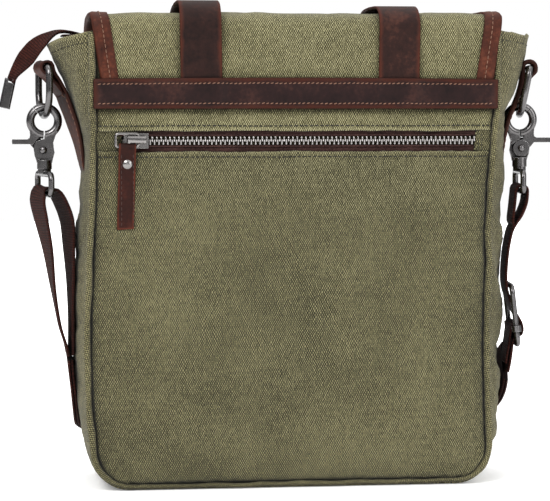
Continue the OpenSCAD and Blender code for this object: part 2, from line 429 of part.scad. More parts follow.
lower_w = spline([[0.1, 1, 0.35], [0, 0.9, 0.6], [0, 0.6, 0.9], [-0.05, 0.3, 1], [0, 0.1, 1], [0, 0, 1], [0, 0, 1], [0, 0, 1], [0, 0, 1], [0, 0, 1], [0, 0, 1], [0, 0, 1], [0, 0.1, 1], [0, 0.3, 1], [0, 0.5, 0.9], [0, 0.65, 0.8], [0, 0.78, 0.62]], 3);
module strap_lower() color(web_c) ribbon(lower_pts, lower_w, web_w, 2*web_t);

back_panel_lower();
back_panel_upper();
back_zip_tapes();
back_zip_teeth();
back_pocket_bag();
back_band();
flap_rear();
flap_binding_rear();
closure_straps_rear();
gusset(-1);  // gusset_left
gusset(1);  // gusset_right
base_panel();
front_panel();
front_pocket();
seam_welts();
lining();
base_board();
tablet_sleeve();
inner_organizer();
top_closure_panels();
top_zip_tapes();
top_zip_teeth();
side_tabs();
snap_sockets();
strap_lower();
zip_tail();
tail_ferrule();
flap_top();
flap_binding_top();
closure_straps_top();
flap_front();
flap_binding_front();
closure_straps_front();
buckle_frames();
buckle_chapes();
buckle_keepers();
snap_studs();
prong(-1);  // prong_left
prong(1);  // prong_right
back_zip_slider();
back_pull_link();
back_pull_leather();
back_pull_rivet();
top_zip_slider();
top_zip_pull();
ring_left();
ring_right();
at_clip(-1) hook();  // hook_left
at_clip(-1) trigger();  // trigger_left
at_clip(-1) trigger_pin();  // trigger_pin_left
turn_left() at_clip(-1) swivel();  // swivel_left
turn_left() strap_left();
at_clip(1) hook();  // hook_right
at_clip(1) trigger();  // trigger_right
at_clip(1) trigger_pin();  // trigger_pin_right
turn_right() at_clip(1) swivel();  // swivel_right
turn_right() strap_right();
turn_right() adjuster_frame();
turn_right() adjuster_bar();
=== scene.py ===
import bpy, math
import numpy as np
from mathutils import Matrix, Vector
from mathutils.bvhtree import BVHTree


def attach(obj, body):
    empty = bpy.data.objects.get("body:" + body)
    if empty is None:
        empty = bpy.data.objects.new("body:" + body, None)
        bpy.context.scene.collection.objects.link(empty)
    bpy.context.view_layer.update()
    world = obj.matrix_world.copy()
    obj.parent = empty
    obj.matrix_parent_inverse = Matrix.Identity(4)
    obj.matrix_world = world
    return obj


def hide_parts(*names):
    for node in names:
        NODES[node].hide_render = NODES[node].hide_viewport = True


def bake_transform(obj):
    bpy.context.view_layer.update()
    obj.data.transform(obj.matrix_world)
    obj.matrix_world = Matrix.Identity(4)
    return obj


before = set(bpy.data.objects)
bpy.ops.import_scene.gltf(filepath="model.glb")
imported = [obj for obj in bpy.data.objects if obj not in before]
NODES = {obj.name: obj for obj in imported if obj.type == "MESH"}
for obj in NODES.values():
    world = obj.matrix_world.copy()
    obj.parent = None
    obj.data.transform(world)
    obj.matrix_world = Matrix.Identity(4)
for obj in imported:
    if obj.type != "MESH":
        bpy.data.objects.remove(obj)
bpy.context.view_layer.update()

MM = 0.001

# ---------------------------------------------------------------- geometry helpers (millimetres)
def A(*p): return np.array(p, float)
def spl(P, k=6):
    P = np.array(P, float); n = len(P); out = []
    for i in range(n - 1):
        a, b, c, d = P[max(i - 1, 0)], P[i], P[i + 1], P[min(i + 2, n - 1)]
        for j in range(k):
            t = j / k
            out.append(0.5 * (2*b + (c - a)*t + (2*a - 5*b + 4*c - d)*t*t + (3*b - a - 3*c + d)*t**3))
    out.append(P[-1]); return np.array(out)
def arc(P):
    return np.concatenate([[0], np.cumsum(np.linalg.norm(np.diff(P, axis=0), axis=1))])
def resample(P, step=None, n=None, *more):
    s = arc(P); n = n or max(2, int(round(s[-1] / step)) + 1); t = np.linspace(0, s[-1], n)
    return np.stack([np.interp(t, s, P[:, k]) for k in range(P.shape[1])], 1)
def unit(v): return v / (np.linalg.norm(v, axis=-1, keepdims=True) + 1e-12)
def fbm(x, y, seed, scale, octaves=3):
    r = np.random.RandomState(seed); out = np.zeros(np.broadcast(x, y).shape); amp = 1.0
    for o in range(octaves):
        for k in range(5):
            a, ph, f = r.uniform(0, 6.283), r.uniform(0, 6.283), 6.283 / (scale / 2**o) * r.uniform(0.6, 1.3)
            out = out + amp * np.sin(f*(x*math.cos(a) + y*math.sin(a)) + ph) / 2.2
        amp *= 0.5
    return out
def table(T, z): T = np.array(T, float); return np.interp(z, T[:, 0], T[:, 1])
def smooth(t): t = np.clip(t, 0, 1); return t*t*(3 - 2*t)

def place(o, body=None, blend=None, slot=None, replaces=(), mats=()):
    for m in mats: o.data.materials.append(m)
    if blend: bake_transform(o)
    elif body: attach(o, body)
    if replaces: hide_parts(*replaces)
    return o
def make(name, V, F, uv=None, edge=None, crease=None, **kw):
    me = bpy.data.meshes.new(name); me.from_pydata((np.asarray(V)*MM).tolist(), [], [list(map(int, f)) for f in F]); me.update()
    li = np.zeros(len(me.loops), int); me.loops.foreach_get("vertex_index", li)
    if uv is not None:
        l = me.uv_layers.new(name="UVMap"); l.data.foreach_set("uv", np.asarray(uv, float)[li].ravel())
    a = me.attributes.new("edge", "FLOAT", "POINT")
    a.data.foreach_set("value", np.asarray(edge if edge is not None else np.full(len(V), 9.0), np.float32))
    if crease is not None:
        a = me.attributes.new("crease", "FLOAT", "POINT"); a.data.foreach_set("value", np.asarray(crease, np.float32))
    me.polygons.foreach_set("use_smooth", [True]*len(me.polygons))
    o = bpy.data.objects.new(name, me); bpy.context.scene.collection.objects.link(o)
    return place(o, **kw)
def normals(P):
    dr = np.gradient(P, axis=0); dc = np.gradient(P, axis=1)
    return unit(np.cross(dc, dr))
def grid(name, P, t=1.6, uv=None, flip=False, edge=None, rim=0.35, crease=None, **kw):
    """a cloth sheet: outer face on P, thickness t inwards, softly rounded rims"""
    m, n = P.shape[:2]; N = normals(P)*(-1 if flip else 1)
    if uv is None:
        U = np.concatenate([np.zeros((m, 1)), np.cumsum(np.linalg.norm(np.diff(P, axis=1), axis=2), 1)], 1)
        U = U - U[:, [n//2]]
        Vv = np.concatenate([np.zeros((1, n)), np.cumsum(np.linalg.norm(np.diff(P, axis=0), axis=2), 0)], 0)
        uv = np.stack([U, Vv], 2)
    uv = np.asarray(uv, float)
    if edge is None:
        e1 = np.minimum(np.abs(uv[..., 0] - uv[:, [0], 0]), np.abs(uv[..., 0] - uv[:, [-1], 0]))
        e2 = np.minimum(np.abs(uv[..., 1] - uv[[0], :, 1]), np.abs(uv[..., 1] - uv[[-1], :, 1]))
        edge = np.minimum(e1, e2)
    idx = np.arange(m*n).reshape(m, n); F = []
    def quads(I, rev):
        q = np.stack([I[:-1, :-1], I[:-1, 1:], I[1:, 1:], I[1:, :-1]], -1).reshape(-1, 4)
        return (q[:, ::-1] if rev else q).tolist()
    F += quads(idx, flip)
    V = [P.reshape(-1, 3)]; UV = [uv.reshape(-1, 2)]; E = [edge.ravel()]; cre = None if crease is None else [np.asarray(crease, float).ravel()]*(2 if t > 0 else 1)
    if t > 0:
        Q = P - N*t; F += quads(idx + m*n, not flip); V.append(Q.reshape(-1, 3)); UV.append(uv.reshape(-1, 2) + 0.37); E.append(edge.ravel())
        ring = np.concatenate([idx[0, :], idx[1:, -1], idx[-1, -2::-1], idx[-2:0:-1, 0]])
        mid = (P - N*t/2).reshape(-1, 3)[ring]
        nb = np.roll(mid, -1, 0) - np.roll(mid, 1, 0); out = unit(np.cross(nb, N.reshape(-1, 3)[ring]))
        c = P.reshape(-1, 3).mean(0); k = len(ring)
        e0 = P.reshape(-1, 3)[ring]
        inward = P.reshape(-1, 3)[np.concatenate([idx[1, :], idx[1:-1, -2].tolist() + [idx[-2, -2]], idx[-2, -2::-1], idx[-2:0:-1, 1]])[:k]] if False else None
        sgn = 1 if not flip else -1
        out = out*sgn
        V.append(mid + out*t*rim); UV.append(uv.reshape(-1, 2)[ring] + 0.2); E.append(np.zeros(k))
        r0 = 2*m*n
        if cre is not None: cre = cre + [cre[0][ring]]
        for i in range(k):
            j = (i + 1) % k; a, b = ring[i], ring[j]
            f1, f2 = [a, r0 + i, r0 + j, b], [r0 + i, a + m*n, b + m*n, r0 + j]
            F += [f1[::-1], f2[::-1]] if flip else [f1, f2]
    return make(name, np.concatenate(V), F, np.concatenate(UV), np.concatenate(E), crease=None if cre is None else np.concatenate(cre), **kw)
def lens(w, t, k=9, dome=0.0, round_=0.9):
    """closed cross-section of a strap: width w, thickness t"""
    a = np.linspace(-w/2 + t*0.32, w/2 - t*0.32, k); top = t/2 + dome*(1 - (a/(w/2))**2)
    up = list(zip(a, top)); right = [(w/2 - t*0.08, t*0.27), (w/2, 0), (w/2 - t*0.08, -t*0.27)]
    dn = [(x, -t/2 + dome*(1 - (x/(w/2))**2)) for x in a[::-1]]; left = [(-w/2 + t*0.08, -t*0.27), (-w/2, 0), (-w/2 + t*0.08, t*0.27)]
    return np.array(up + right + dn + left)
def circ(r, k=10, ry=None):
    a = np.linspace(0, 2*math.pi, k, endpoint=False); return np.stack([r*np.cos(a), (ry or r)*np.sin(a)], 1)
def sweep(name, path, W, prof, caps=True, scale=None, side=1, shape=None, plain_edge=False, **kw):
    path = np.asarray(path, float); n = len(path)
    W = np.broadcast_to(np.asarray(W, float), path.shape)
    T = unit(np.gradient(path, axis=0)); W = unit(W - (W*T).sum(1, keepdims=True)*T); N = unit(np.cross(T, W))*side
    prof = np.asarray(prof, float); k = len(prof)
    S = np.ones((n, 2)) if scale is None else np.broadcast_to(np.asarray(scale, float).reshape(n, -1), (n, 2))
    V = path[:, None, :] + W[:, None, :]*(prof[None, :, 0:1]*S[:, None, 0:1]) + N[:, None, :]*(prof[None, :, 1:2]*S[:, None, 1:2])
    if shape is not None: V = shape(V, arc(path), prof)
    s = arc(path); per = np.concatenate([[0], np.cumsum(np.linalg.norm(np.diff(prof, axis=0), axis=1))])
    uv = np.stack(np.broadcast_arrays(s[:, None], prof[None, :, 0] + 0.37*(prof[None, :, 1] < 0)), 2)
    if plain_edge:
        pc = per - per[np.argmax(prof[:, 1]*side)]; uv = np.stack([(s[:, None] + pc[None, :])*0.7071, (s[:, None] - pc[None, :])*0.7071], 2)
    wmax = np.abs(prof[:, 0]).max(); edge = np.broadcast_to(wmax - np.abs(prof[:, 0]), (n, k)).copy()
    endd = np.minimum(s, s[-1] - s)[:, None]; edge = np.minimum(edge, endd + (0 if caps else 99)) if not plain_edge else edge*0 + 9.0
    I = np.arange(n*k).reshape(n, k); J = np.roll(I, -1, 1)
    q = np.stack([I[:-1], I[1:], J[1:], J[:-1]], -1).reshape(-1, 4)
    area = (prof[:, 0]*np.roll(prof[:, 1], -1) - np.roll(prof[:, 0], -1)*prof[:, 1]).sum()*side
    q = q if area < 0 else q[:, ::-1]
    F = q.tolist()
    if caps:
        c0, c1 = I[0].tolist(), I[-1].tolist(); F += [c0[::-1], c1] if area < 0 else [c0, c1[::-1]]
    return make(name, V.reshape(-1, 3), F, uv.reshape(-1, 2), edge.ravel(), **kw)
_cap = None
def capsule(k=6, rings=4):
    V, F = [], []
    a = np.linspace(0, 2*math.pi, k, endpoint=False)
    prof = [(-0.5, 0.35), (-0.36, 0.85), (0, 1.0), (0.36, 0.85), (0.5, 0.35)]
    for x, r in prof: V += [(x, r*math.cos(t), r*math.sin(t)) for t in a]
    n = len(prof)
    for i in range(n - 1):
        for j in range(k): F.append([i*k + j, i*k + (j+1) % k, (i+1)*k + (j+1) % k, (i+1)*k + j][::-1])
    F.append(list(range(k))); F.append(list(range((n-1)*k, n*k))[::-1])
    return np.array(V), F
def stitches(name, runs, pitch=4.4, length=3.3, r=0.45, lift=0.1, slant=0.0, seed=3, **kw):
    """runs of (points, outward normals): thread seen on the surface, one small loop per stitch"""
    cv, cf = capsule(); V, F, base = [], [], 0; rng = np.random.RandomState(seed)
    for P, N in runs:
        P = np.asarray(P, float); N = np.broadcast_to(np.asarray(N, float), P.shape); s = arc(P)
        for c in np.arange(pitch/2, s[-1] - pitch*0.4, pitch):
            c += rng.uniform(-0.12, 0.12)
            at = A(*[np.interp(c, s, P[:, k]) for k in range(3)]); b = A(*[np.interp(c + 0.8, s, P[:, k]) for k in range(3)])
            nn = unit(A(*[np.interp(c, s, N[:, k]) for k in range(3)])); T = unit(b - at + 1e-9)
            B = unit(np.cross(nn, T)); nn = unit(np.cross(T, B)); sl = slant + rng.uniform(-0.05, 0.05)
            T2 = T*math.cos(sl) + B*math.sin(sl); B2 = np.cross(nn, T2); L = length*rng.uniform(0.93, 1.05)
            bow = -0.25*r*(2*cv[:, 0])**2
            V.append(at + nn*lift + cv[:, :1]*L*T2 + cv[:, 1:2]*r*B2 + (cv[:, 2:3]*r*0.8 + bow[:, None])*nn)
            F += [[i + base for i in f] for f in cf]; base += len(cv)
    return make(name, np.concatenate(V), F, np.concatenate(V)[:, :2], **kw)
class Surf:
    """finds points on a finished piece, for sewing onto it"""
    def __init__(s, o): s.b = BVHTree.FromPolygons([v.co for v in o.data.vertices], [list(p.vertices) for p in o.data.polygons])
    def along(s, pts, direction, off=0.0):
        d = Vector(direction).normalized(); out, nn = [], []
        for p in pts:
            hit = s.b.ray_cast(Vector(p)*MM - d*0.06, d)
            if hit[0] is None: continue
            nm = hit[1] if hit[1].dot(d) < 0 else -hit[1]
            out.append(np.array(hit[0])/MM + np.array(nm)*off); nn.append(np.array(nm))
        return np.array(out), np.array(nn)
def drape(P, pins, press=6.0, shrink=-0.02, frames=18, cap=(-2.0, 3.0), flip=False, bend=0.4, gravity=True, tan=2.0):
    """a short cloth simulation of one panel held at its seams; returns the settled grid"""
    m, n = P.shape[:2]; idx = np.arange(m*n).reshape(m, n)
    q = np.stack([idx[:-1, :-1], idx[:-1, 1:], idx[1:, 1:], idx[1:, :-1]], -1).reshape(-1, 4)
    if flip: q = q[:, ::-1]
    S = 4.0
    me = bpy.data.meshes.new("drape"); me.from_pydata((P.reshape(-1, 3)*MM*S).tolist(), [], q.tolist()); me.update()
    o = bpy.data.objects.new("drape", me); bpy.context.scene.collection.objects.link(o)
    g = o.vertex_groups.new(name="pin"); pin = np.asarray(pins, float).ravel()
    for w in np.unique(pin):
        if w > 0: g.add(np.nonzero(pin == w)[0].tolist(), float(w), "REPLACE")
    mod = o.modifiers.new("cloth", "CLOTH"); c = mod.settings
    c.quality = 4; c.mass = 0.25; c.tension_stiffness = 18; c.compression_stiffness = 12; c.shear_stiffness = 6; c.bending_stiffness = bend
    c.tension_damping = 12; c.compression_damping = 12; c.shear_damping = 12; c.bending_damping = 2; c.air_damping = 3
    c.vertex_group_mass = "pin"; c.use_pressure = True; c.uniform_pressure_force = press; c.shrink_min = shrink
    c.effector_weights.gravity = 1.0 if gravity else 0.0
    mod.collision_settings.use_collision = False; mod.collision_settings.use_self_collision = False
    mod.point_cache.frame_start = 1; mod.point_cache.frame_end = frames + 2
    sc = bpy.context.scene
    for f in range(1, frames + 1): sc.frame_set(f)
    ev = o.evaluated_get(bpy.context.evaluated_depsgraph_get()); co = np.zeros(m*n*3); ev.data.vertices.foreach_get("co", co)
    sc.frame_set(1); bpy.data.objects.remove(o)
    Q = co.reshape(m, n, 3)/MM/S; D = Q - P
    if not np.isfinite(D).all(): return P
    N = normals(P)*(-1 if flip else 1); dn = (D*N).sum(2); tang = D - dn[..., None]*N
    lo_, hi_ = cap; mid = (lo_ + hi_)/2; half = (hi_ - lo_)/2
    dn = mid + half*np.tanh((dn - mid)/half) if True else dn
    k = (1 - pin.reshape(m, n)); dn = dn*smooth(k*1.0)
    L = np.linalg.norm(tang, axis=2, keepdims=True); tang = tang*np.minimum(1, tan/(L + 1e-9))*k[..., None]
    return P + N*dn[..., None] + tang

# ---------------------------------------------------------------- material helpers
def lin(c): c = np.array(c, float)/255; return tuple(np.where(c <= 0.04045, c/12.92, ((c + 0.055)/1.055)**2.4)) + (1.0,)
class M:
    def __init__(s, name):
        s.m = bpy.data.materials.new(name); s.m.use_nodes = True; s.t = s.m.node_tree; s.t.nodes.clear()
        s.out = s.t.nodes.new("ShaderNodeOutputMaterial"); s.b = s.t.nodes.new("ShaderNodeBsdfPrincipled")
        s.t.links.new(s.b.outputs[0], s.out.inputs[0])
    def put(s, sock, v):
        if v is None: return
        if isinstance(v, bpy.types.NodeSocket): s.t.links.new(v, sock)
        elif isinstance(v, (tuple, list)) and sock.type == "VECTOR": sock.default_value = v[:3]
        else: sock.default_value = v
    def node(s, kind, ins={}, out=0, **props):
        n = s.t.nodes.new("ShaderNode" + kind)
        for k, v in props.items(): setattr(n, k, v)
        for k, v in ins.items(): s.put(n.inputs[k], v)
        return n.outputs[out]
    def math(s, op, a, b=None, c=None, clamp=False):
        n = s.t.nodes.new("ShaderNodeMath"); n.operation = op; n.use_clamp = clamp
        s.put(n.inputs[0], a)
        if b is not None: s.put(n.inputs[1], b)
        if c is not None: s.put(n.inputs[2], c)
        return n.outputs[0]
    def add(s, a, b): return s.math("ADD", a, b)
    def sub(s, a, b): return s.math("SUBTRACT", a, b)
    def mul(s, a, b): return s.math("MULTIPLY", a, b)
    def remap(s, v, a, b, c, d):
        n = s.t.nodes.new("ShaderNodeMapRange"); n.interpolation_type = "SMOOTHSTEP"
        for i, x in enumerate((v, a, b, c, d)): s.put(n.inputs[i], x)
        return n.outputs[0]
    def ramp(s, v, stops):
        n = s.t.nodes.new("ShaderNodeValToRGB"); r = n.color_ramp
        while len(r.elements) < len(stops): r.elements.new(0.5)
        for e, (p, c) in zip(r.elements, stops): e.position = p; e.color = lin(c)
        s.put(n.inputs[0], v); return n.outputs[0]
    def mix(s, f, a, b, mode="MIX"):
        n = s.t.nodes.new("ShaderNodeMix"); n.data_type = "RGBA"; n.blend_type = mode
        s.put(n.inputs[0], f); s.put(n.inputs[6], a); s.put(n.inputs[7], b); return n.outputs[2]
    def noise(s, vec, scale, detail=2, rough=0.5, out=0):
        return s.node("TexNoise", {"Vector": vec, "Scale": scale, "Detail": detail, "Roughness": rough}, out=out)
    def comb(s, x, y, z=0.0): return s.node("CombineXYZ", {0: x, 1: y, 2: z})
    def bump(s, h, dist, strength=1.0, normal=None):
        return s.node("Bump", {"Height": h, "Distance": dist, "Strength": strength, "Normal": normal})
    def uv(s):
        v = s.node("UVMap"); n = s.t.nodes.new("ShaderNodeSeparateXYZ"); s.put(n.inputs[0], v); return v, n.outputs[0], n.outputs[1]
    def obj(s): return s.t.nodes.new("ShaderNodeTexCoord").outputs["Object"]
    def ao(s, d): return s.node("AmbientOcclusion", {"Distance": d}, out=1, samples=4)
    def attr(s, name): return s.node("Attribute", out=2, attribute_name=name)
    def set(s, **k):
        for a, v in k.items(): s.put(s.b.inputs[a.replace("_", " ")], v)
        return s.m

def canvas(name, dark, mid, light, pu=0.735, pv=1.28, seed=0.0, edge_wear=0.22):
    s = M(name); uv, u, v = s.uv(); o = s.obj()
    wob = s.noise(s.comb(s.mul(u, 0.05), s.mul(v, 0.05), seed), 6.0, 2)
    u2 = s.add(u, s.mul(s.sub(wob, 0.5), 1.6)); wob2 = s.noise(s.comb(s.mul(u, 0.05), s.mul(v, 0.05), seed + 7.0), 6.0, 2)
    v2 = s.add(v, s.mul(s.sub(wob2, 0.5), 1.6))
    cu, cv = s.mul(u2, 1/pu), s.mul(v2, 1/pv)
    weave = s.mul(s.math("SINE", s.mul(cu, math.pi)), s.math("SINE", s.mul(cv, math.pi)))
    cell = s.node("TexWhiteNoise", {"Vector": s.comb(s.math("FLOOR", cu), s.math("FLOOR", cv), seed)}, noise_dimensions="3D")
    slub_v = s.noise(s.comb(s.mul(cu, 0.62), s.mul(cv, 0.045), seed), 1.0, 2)
    slub_u = s.noise(s.comb(s.mul(cu, 0.03), s.mul(cv, 0.62), seed + 3.0), 1.0, 2)
    fine = s.noise(s.comb(s.mul(u, 1.3), s.mul(v, 1.1), seed + 11.0), 1.0, 3, 0.7)
    val = s.add(s.mul(weave, 0.62), s.mul(s.sub(cell, 0.5), 0.30))
    val = s.add(val, s.mul(s.sub(slub_v, 0.5), 0.16)); val = s.add(val, s.mul(s.sub(slub_u, 0.5), 0.20))
    # painted shade: the per-vertex crease value darkens the canvas colour along seams, in creases and behind the band
    val = s.add(val, s.mul(s.sub(fine, 0.5), 0.12)); crease_shade_amt = s.attr("crease"); val = s.sub(val, s.mul(crease_shade_amt, 0.85))
    blot = s.noise(o, 22.0, 4, 0.6); val = s.add(val, s.mul(s.sub(blot, 0.5), 0.42))
    blot2 = s.noise(o, 9.0, 2, 0.5); val = s.add(val, s.mul(s.sub(blot2, 0.5), 0.30))
    e = s.attr("edge"); wear = s.remap(e, 0.0, 2.2, edge_wear, 0.0); val = s.add(val, wear)
    ao = s.ao(0.007); val = s.add(val, s.mul(s.sub(ao, 1.0), 0.42))
    col = s.ramp(s.add(val, 0.5), [(0.0, dark), (0.5, mid), (1.0, light)])
    h = s.add(s.mul(weave, 0.5), s.mul(cell, 0.25)); nb = s.bump(h, 0.00022, 0.8)
    nb = s.bump(s.noise(o, 90.0, 3, 0.6), 0.0006, 0.5, nb)
    return s.set(Base_Color=col, Roughness=0.93, Specular_IOR_Level=0.18, Normal=nb, Sheen_Weight=0.08, Sheen_Roughness=0.6)
def leather(name, dark, mid, light, edge_col, edge_w=3.4, rough=0.46, seed=0.0, amt=1.0):
    s = M(name); uv, u, v = s.uv(); o = s.obj(); e = s.attr("edge")
    blot = s.noise(o, 38.0 + seed, 5, 0.62); fine = s.noise(o, 420.0, 3, 0.6)
    val = s.add(s.mul(s.sub(blot, 0.5), 1.7*amt), s.mul(s.sub(fine, 0.5), 0.8)); val = s.add(val, 0.46)
    col = s.ramp(val, [(0.0, dark), (0.5, mid), (1.0, light)])
    n2 = s.noise(o, 70.0, 4, 0.65); ew = s.remap(s.add(e, s.mul(s.sub(n2, 0.5), edge_w*1.5)), 0.0, edge_w, 1.0, 0.0)
    col = s.mix(s.mul(ew, 0.9), col, lin(edge_col))
    raw = s.remap(e, 0.0, 0.5, 0.55, 0.0); col = s.mix(raw, col, lin([c*0.55 for c in edge_col]))
    ao = s.ao(0.004); col = s.mix(s.mul(s.sub(1.0, ao), 0.75), col, lin([c*0.45 for c in dark]))
    vor = s.node("TexVoronoi", {"Vector": o, "Scale": 900.0}, feature="DISTANCE_TO_EDGE")
    nb = s.bump(vor, 0.00012, 0.5); nb = s.bump(s.noise(o, 140.0, 4, 0.6), 0.0005, 0.45, nb)
    r = s.add(rough + 0.06, s.mul(s.sub(fine, 0.5), 0.25))
    return s.set(Base_Color=col, Roughness=s.add(r, 0.08), Specular_IOR_Level=0.13, Normal=nb)
def metal(name, dark, light, edge_highlight_col=(214, 211, 208), rough=0.3, seed=0.0, bev=0.00042, aod=0.0024, nz=0.42):
    s = M(name); o = s.obj(); n = s.noise(o, 120.0, 3, 0.55); ao = s.ao(aod)
    bn = s.t.nodes.new("ShaderNodeBevel"); bn.samples = 4; bn.inputs["Radius"].default_value = bev
    g = s.t.nodes.new("ShaderNodeNewGeometry"); dt = s.t.nodes.new("ShaderNodeVectorMath"); dt.operation = "DOT_PRODUCT"
    s.put(dt.inputs[0], bn.outputs[0]); s.put(dt.inputs[1], g.outputs["Normal"])
    # painted highlight: a bright colour is mixed in along the edges found by the bevel normal
    edge_highlight = s.remap(s.add(dt.outputs["Value"], s.mul(s.sub(n, 0.5), 0.05)), 0.93, 0.995, 1.0, 0.0)
    f = s.add(s.mul(s.sub(n, 0.5), nz), s.math("POWER", ao, 1.8))
    col = s.ramp(f, [(0.2, dark), (0.98, light)]); col = s.mix(s.mul(edge_highlight, 0.75), col, lin(edge_highlight_col))
    scr = s.noise(o, 1100.0, 2, 0.6); r = s.add(s.add(rough, s.mul(s.sub(n, 0.5), 0.16)), s.mul(s.sub(scr, 0.5), 0.06))
    return s.set(Base_Color=col, Metallic=1.0, Roughness=r, Normal=s.bump(scr, 0.00002, 0.25, bn.outputs[0]))
def webbing(name, dark, mid, light, rib=1.15, cross=0.9):
    s = M(name); uv, u, v = s.uv(); o = s.obj()
    cu, cv = s.mul(v, 1/cross), s.mul(u, 1/rib)
    ribs = s.math("ABSOLUTE", s.math("SINE", s.mul(cv, math.pi)))
    tw = s.math("SINE", s.mul(s.add(cu, s.mul(s.math("MODULO", s.math("FLOOR", cv), 2.0), 1.0)), math.pi*2))
    cell = s.node("TexWhiteNoise", {"Vector": s.comb(s.math("FLOOR", cu), s.math("FLOOR", cv), 1.0)}, noise_dimensions="3D")
    blot = s.noise(o, 60.0, 4, 0.6)
    val = s.add(s.mul(ribs, 0.35), s.mul(tw, 0.14)); val = s.add(val, s.mul(cell, 0.16)); val = s.add(val, s.mul(s.sub(blot, 0.5), 0.5))
    ao = s.ao(0.004); val = s.add(val, s.mul(s.sub(ao, 1.0), 0.4))
    col = s.ramp(val, [(0.0, dark), (0.45, mid), (1.0, light)])
    nb = s.bump(s.add(ribs, s.mul(tw, 0.3)), 0.00035, 0.7)
    return s.set(Base_Color=col, Roughness=0.85, Specular_IOR_Level=0.14, Normal=nb)
def thread(name, c1, c2):
    s = M(name); o = s.obj(); n = s.noise(o, 700.0, 2, 0.5); ao = s.ao(0.0015)
    tw = s.node("TexWave", {"Vector": o, "Scale": 900.0, "Distortion": 1.5}, out=1)
    col = s.ramp(s.mul(s.add(s.mul(n, 0.7), s.mul(tw, 0.3)), ao), [(0.1, c1), (0.8, c2)])
    return s.set(Base_Color=col, Roughness=0.65, Normal=s.bump(tw, 0.0001, 0.6))

CANVAS = canvas("canvas_green", (19, 18, 9), (66, 63, 40), (132, 127, 95))
CANVAS_FLAP = canvas("canvas_flap", (27, 25, 12), (82, 78, 51), (150, 145, 110), seed=5.0)
CANVAS_SIDE = canvas("canvas_side", (21, 19, 8), (72, 68, 44), (138, 132, 98), seed=9.0)
LINING = canvas("lining_twill", (58, 52, 40), (92, 84, 64), (120, 112, 88), pu=0.5, pv=0.5, seed=2.0, edge_wear=0.0)
LEATHER = leather("leather_brown", (17, 8, 7), (40, 22, 18), (78, 46, 36), (70, 31, 19))
LEATHER_BAND = leather("leather_band", (16, 8, 8), (34, 19, 18), (62, 37, 31), (58, 24, 13), edge_w=4.0, seed=4.0)
BINDING = leather("leather_binding", (26, 10, 6), (66, 31, 20), (108, 60, 41), (66, 29, 17), edge_w=1.6, seed=8.0)
PULL = leather("leather_pull", (20, 8, 6), (44, 18, 12), (76, 36, 25), (88, 38, 22), edge_w=1.5, seed=2.0)
METAL = metal("antique_metal", (14, 13, 13), (104, 102, 102), (186, 184, 183), 0.25)
METAL_ZIP = metal("zip_metal", (34, 31, 30), (136, 133, 131), (206, 203, 200), 0.26, bev=0.0002, aod=0.0010, nz=0.16)
METAL_TEETH = metal("zip_teeth_metal", (14, 12, 12), (164, 160, 158), (232, 229, 226), 0.3, bev=0.00012, aod=0.0015, nz=0.3)
WEB = webbing("webbing_brown", (13, 4, 3), (50, 20, 14), (98, 48, 36), rib=1.7)
TAPE = webbing("zip_tape", (26, 15, 14), (74, 50, 46), (108, 78, 71), rib=0.8, cross=0.6)
TAN = thread("thread_tan", (66, 40, 28), (146, 106, 82))
DARK = thread("thread_green", (18, 17, 9), (56, 53, 33))
TAB = leather("leather_tab", (22, 8, 5), (56, 25, 17), (98, 52, 36), (50, 21, 12), edge_w=1.3, seed=6.0)

# ---------------------------------------------------------------- the body's settled shape
DRIFT = [(0, -0.8), (20, -1.0), (55, -3.4), (94, -4.6), (119, -4.2), (146, -3.0), (165, -3.0), (198, -1.6), (225, -0.2), (250, 0.8), (300, 1.0)]
SCALE = [(0, .985), (20, .985), (55, .99), (94, .992), (146, .99), (165, .984), (198, .984), (225, .992), (250, 1.0), (300, 1.0)]
def wx(x, z): return x*table(SCALE, z) + table(DRIFT, z)
def half_w(z, r=22.0, w=133.0, z0=4.2):
    zz = np.clip(z - z0, 0, r); return w - r + np.sqrt(np.clip(r*r - (r - zz)**2, 0, None))
def cols(n): t = np.linspace(-1, 1, n); return 0.6*t + 0.4*np.sin(t*math.pi/2)
def pucker(d, s, amp=0.35, wl=11.0, fall=7.0, seed=1):
    return amp*np.exp(-np.maximum(d, 0)/fall)*(np.sin(6.283*s/wl + 1.7*fbm(s, s*0, seed, 60)) + 0.5*fbm(s, d, seed + 1, 9))
zc = 26.2 - 22.0*np.cos(np.linspace(0.0, math.pi/2, 9)[1:])   # rows through the corner
ROWS0 = np.concatenate([[4.2], zc])
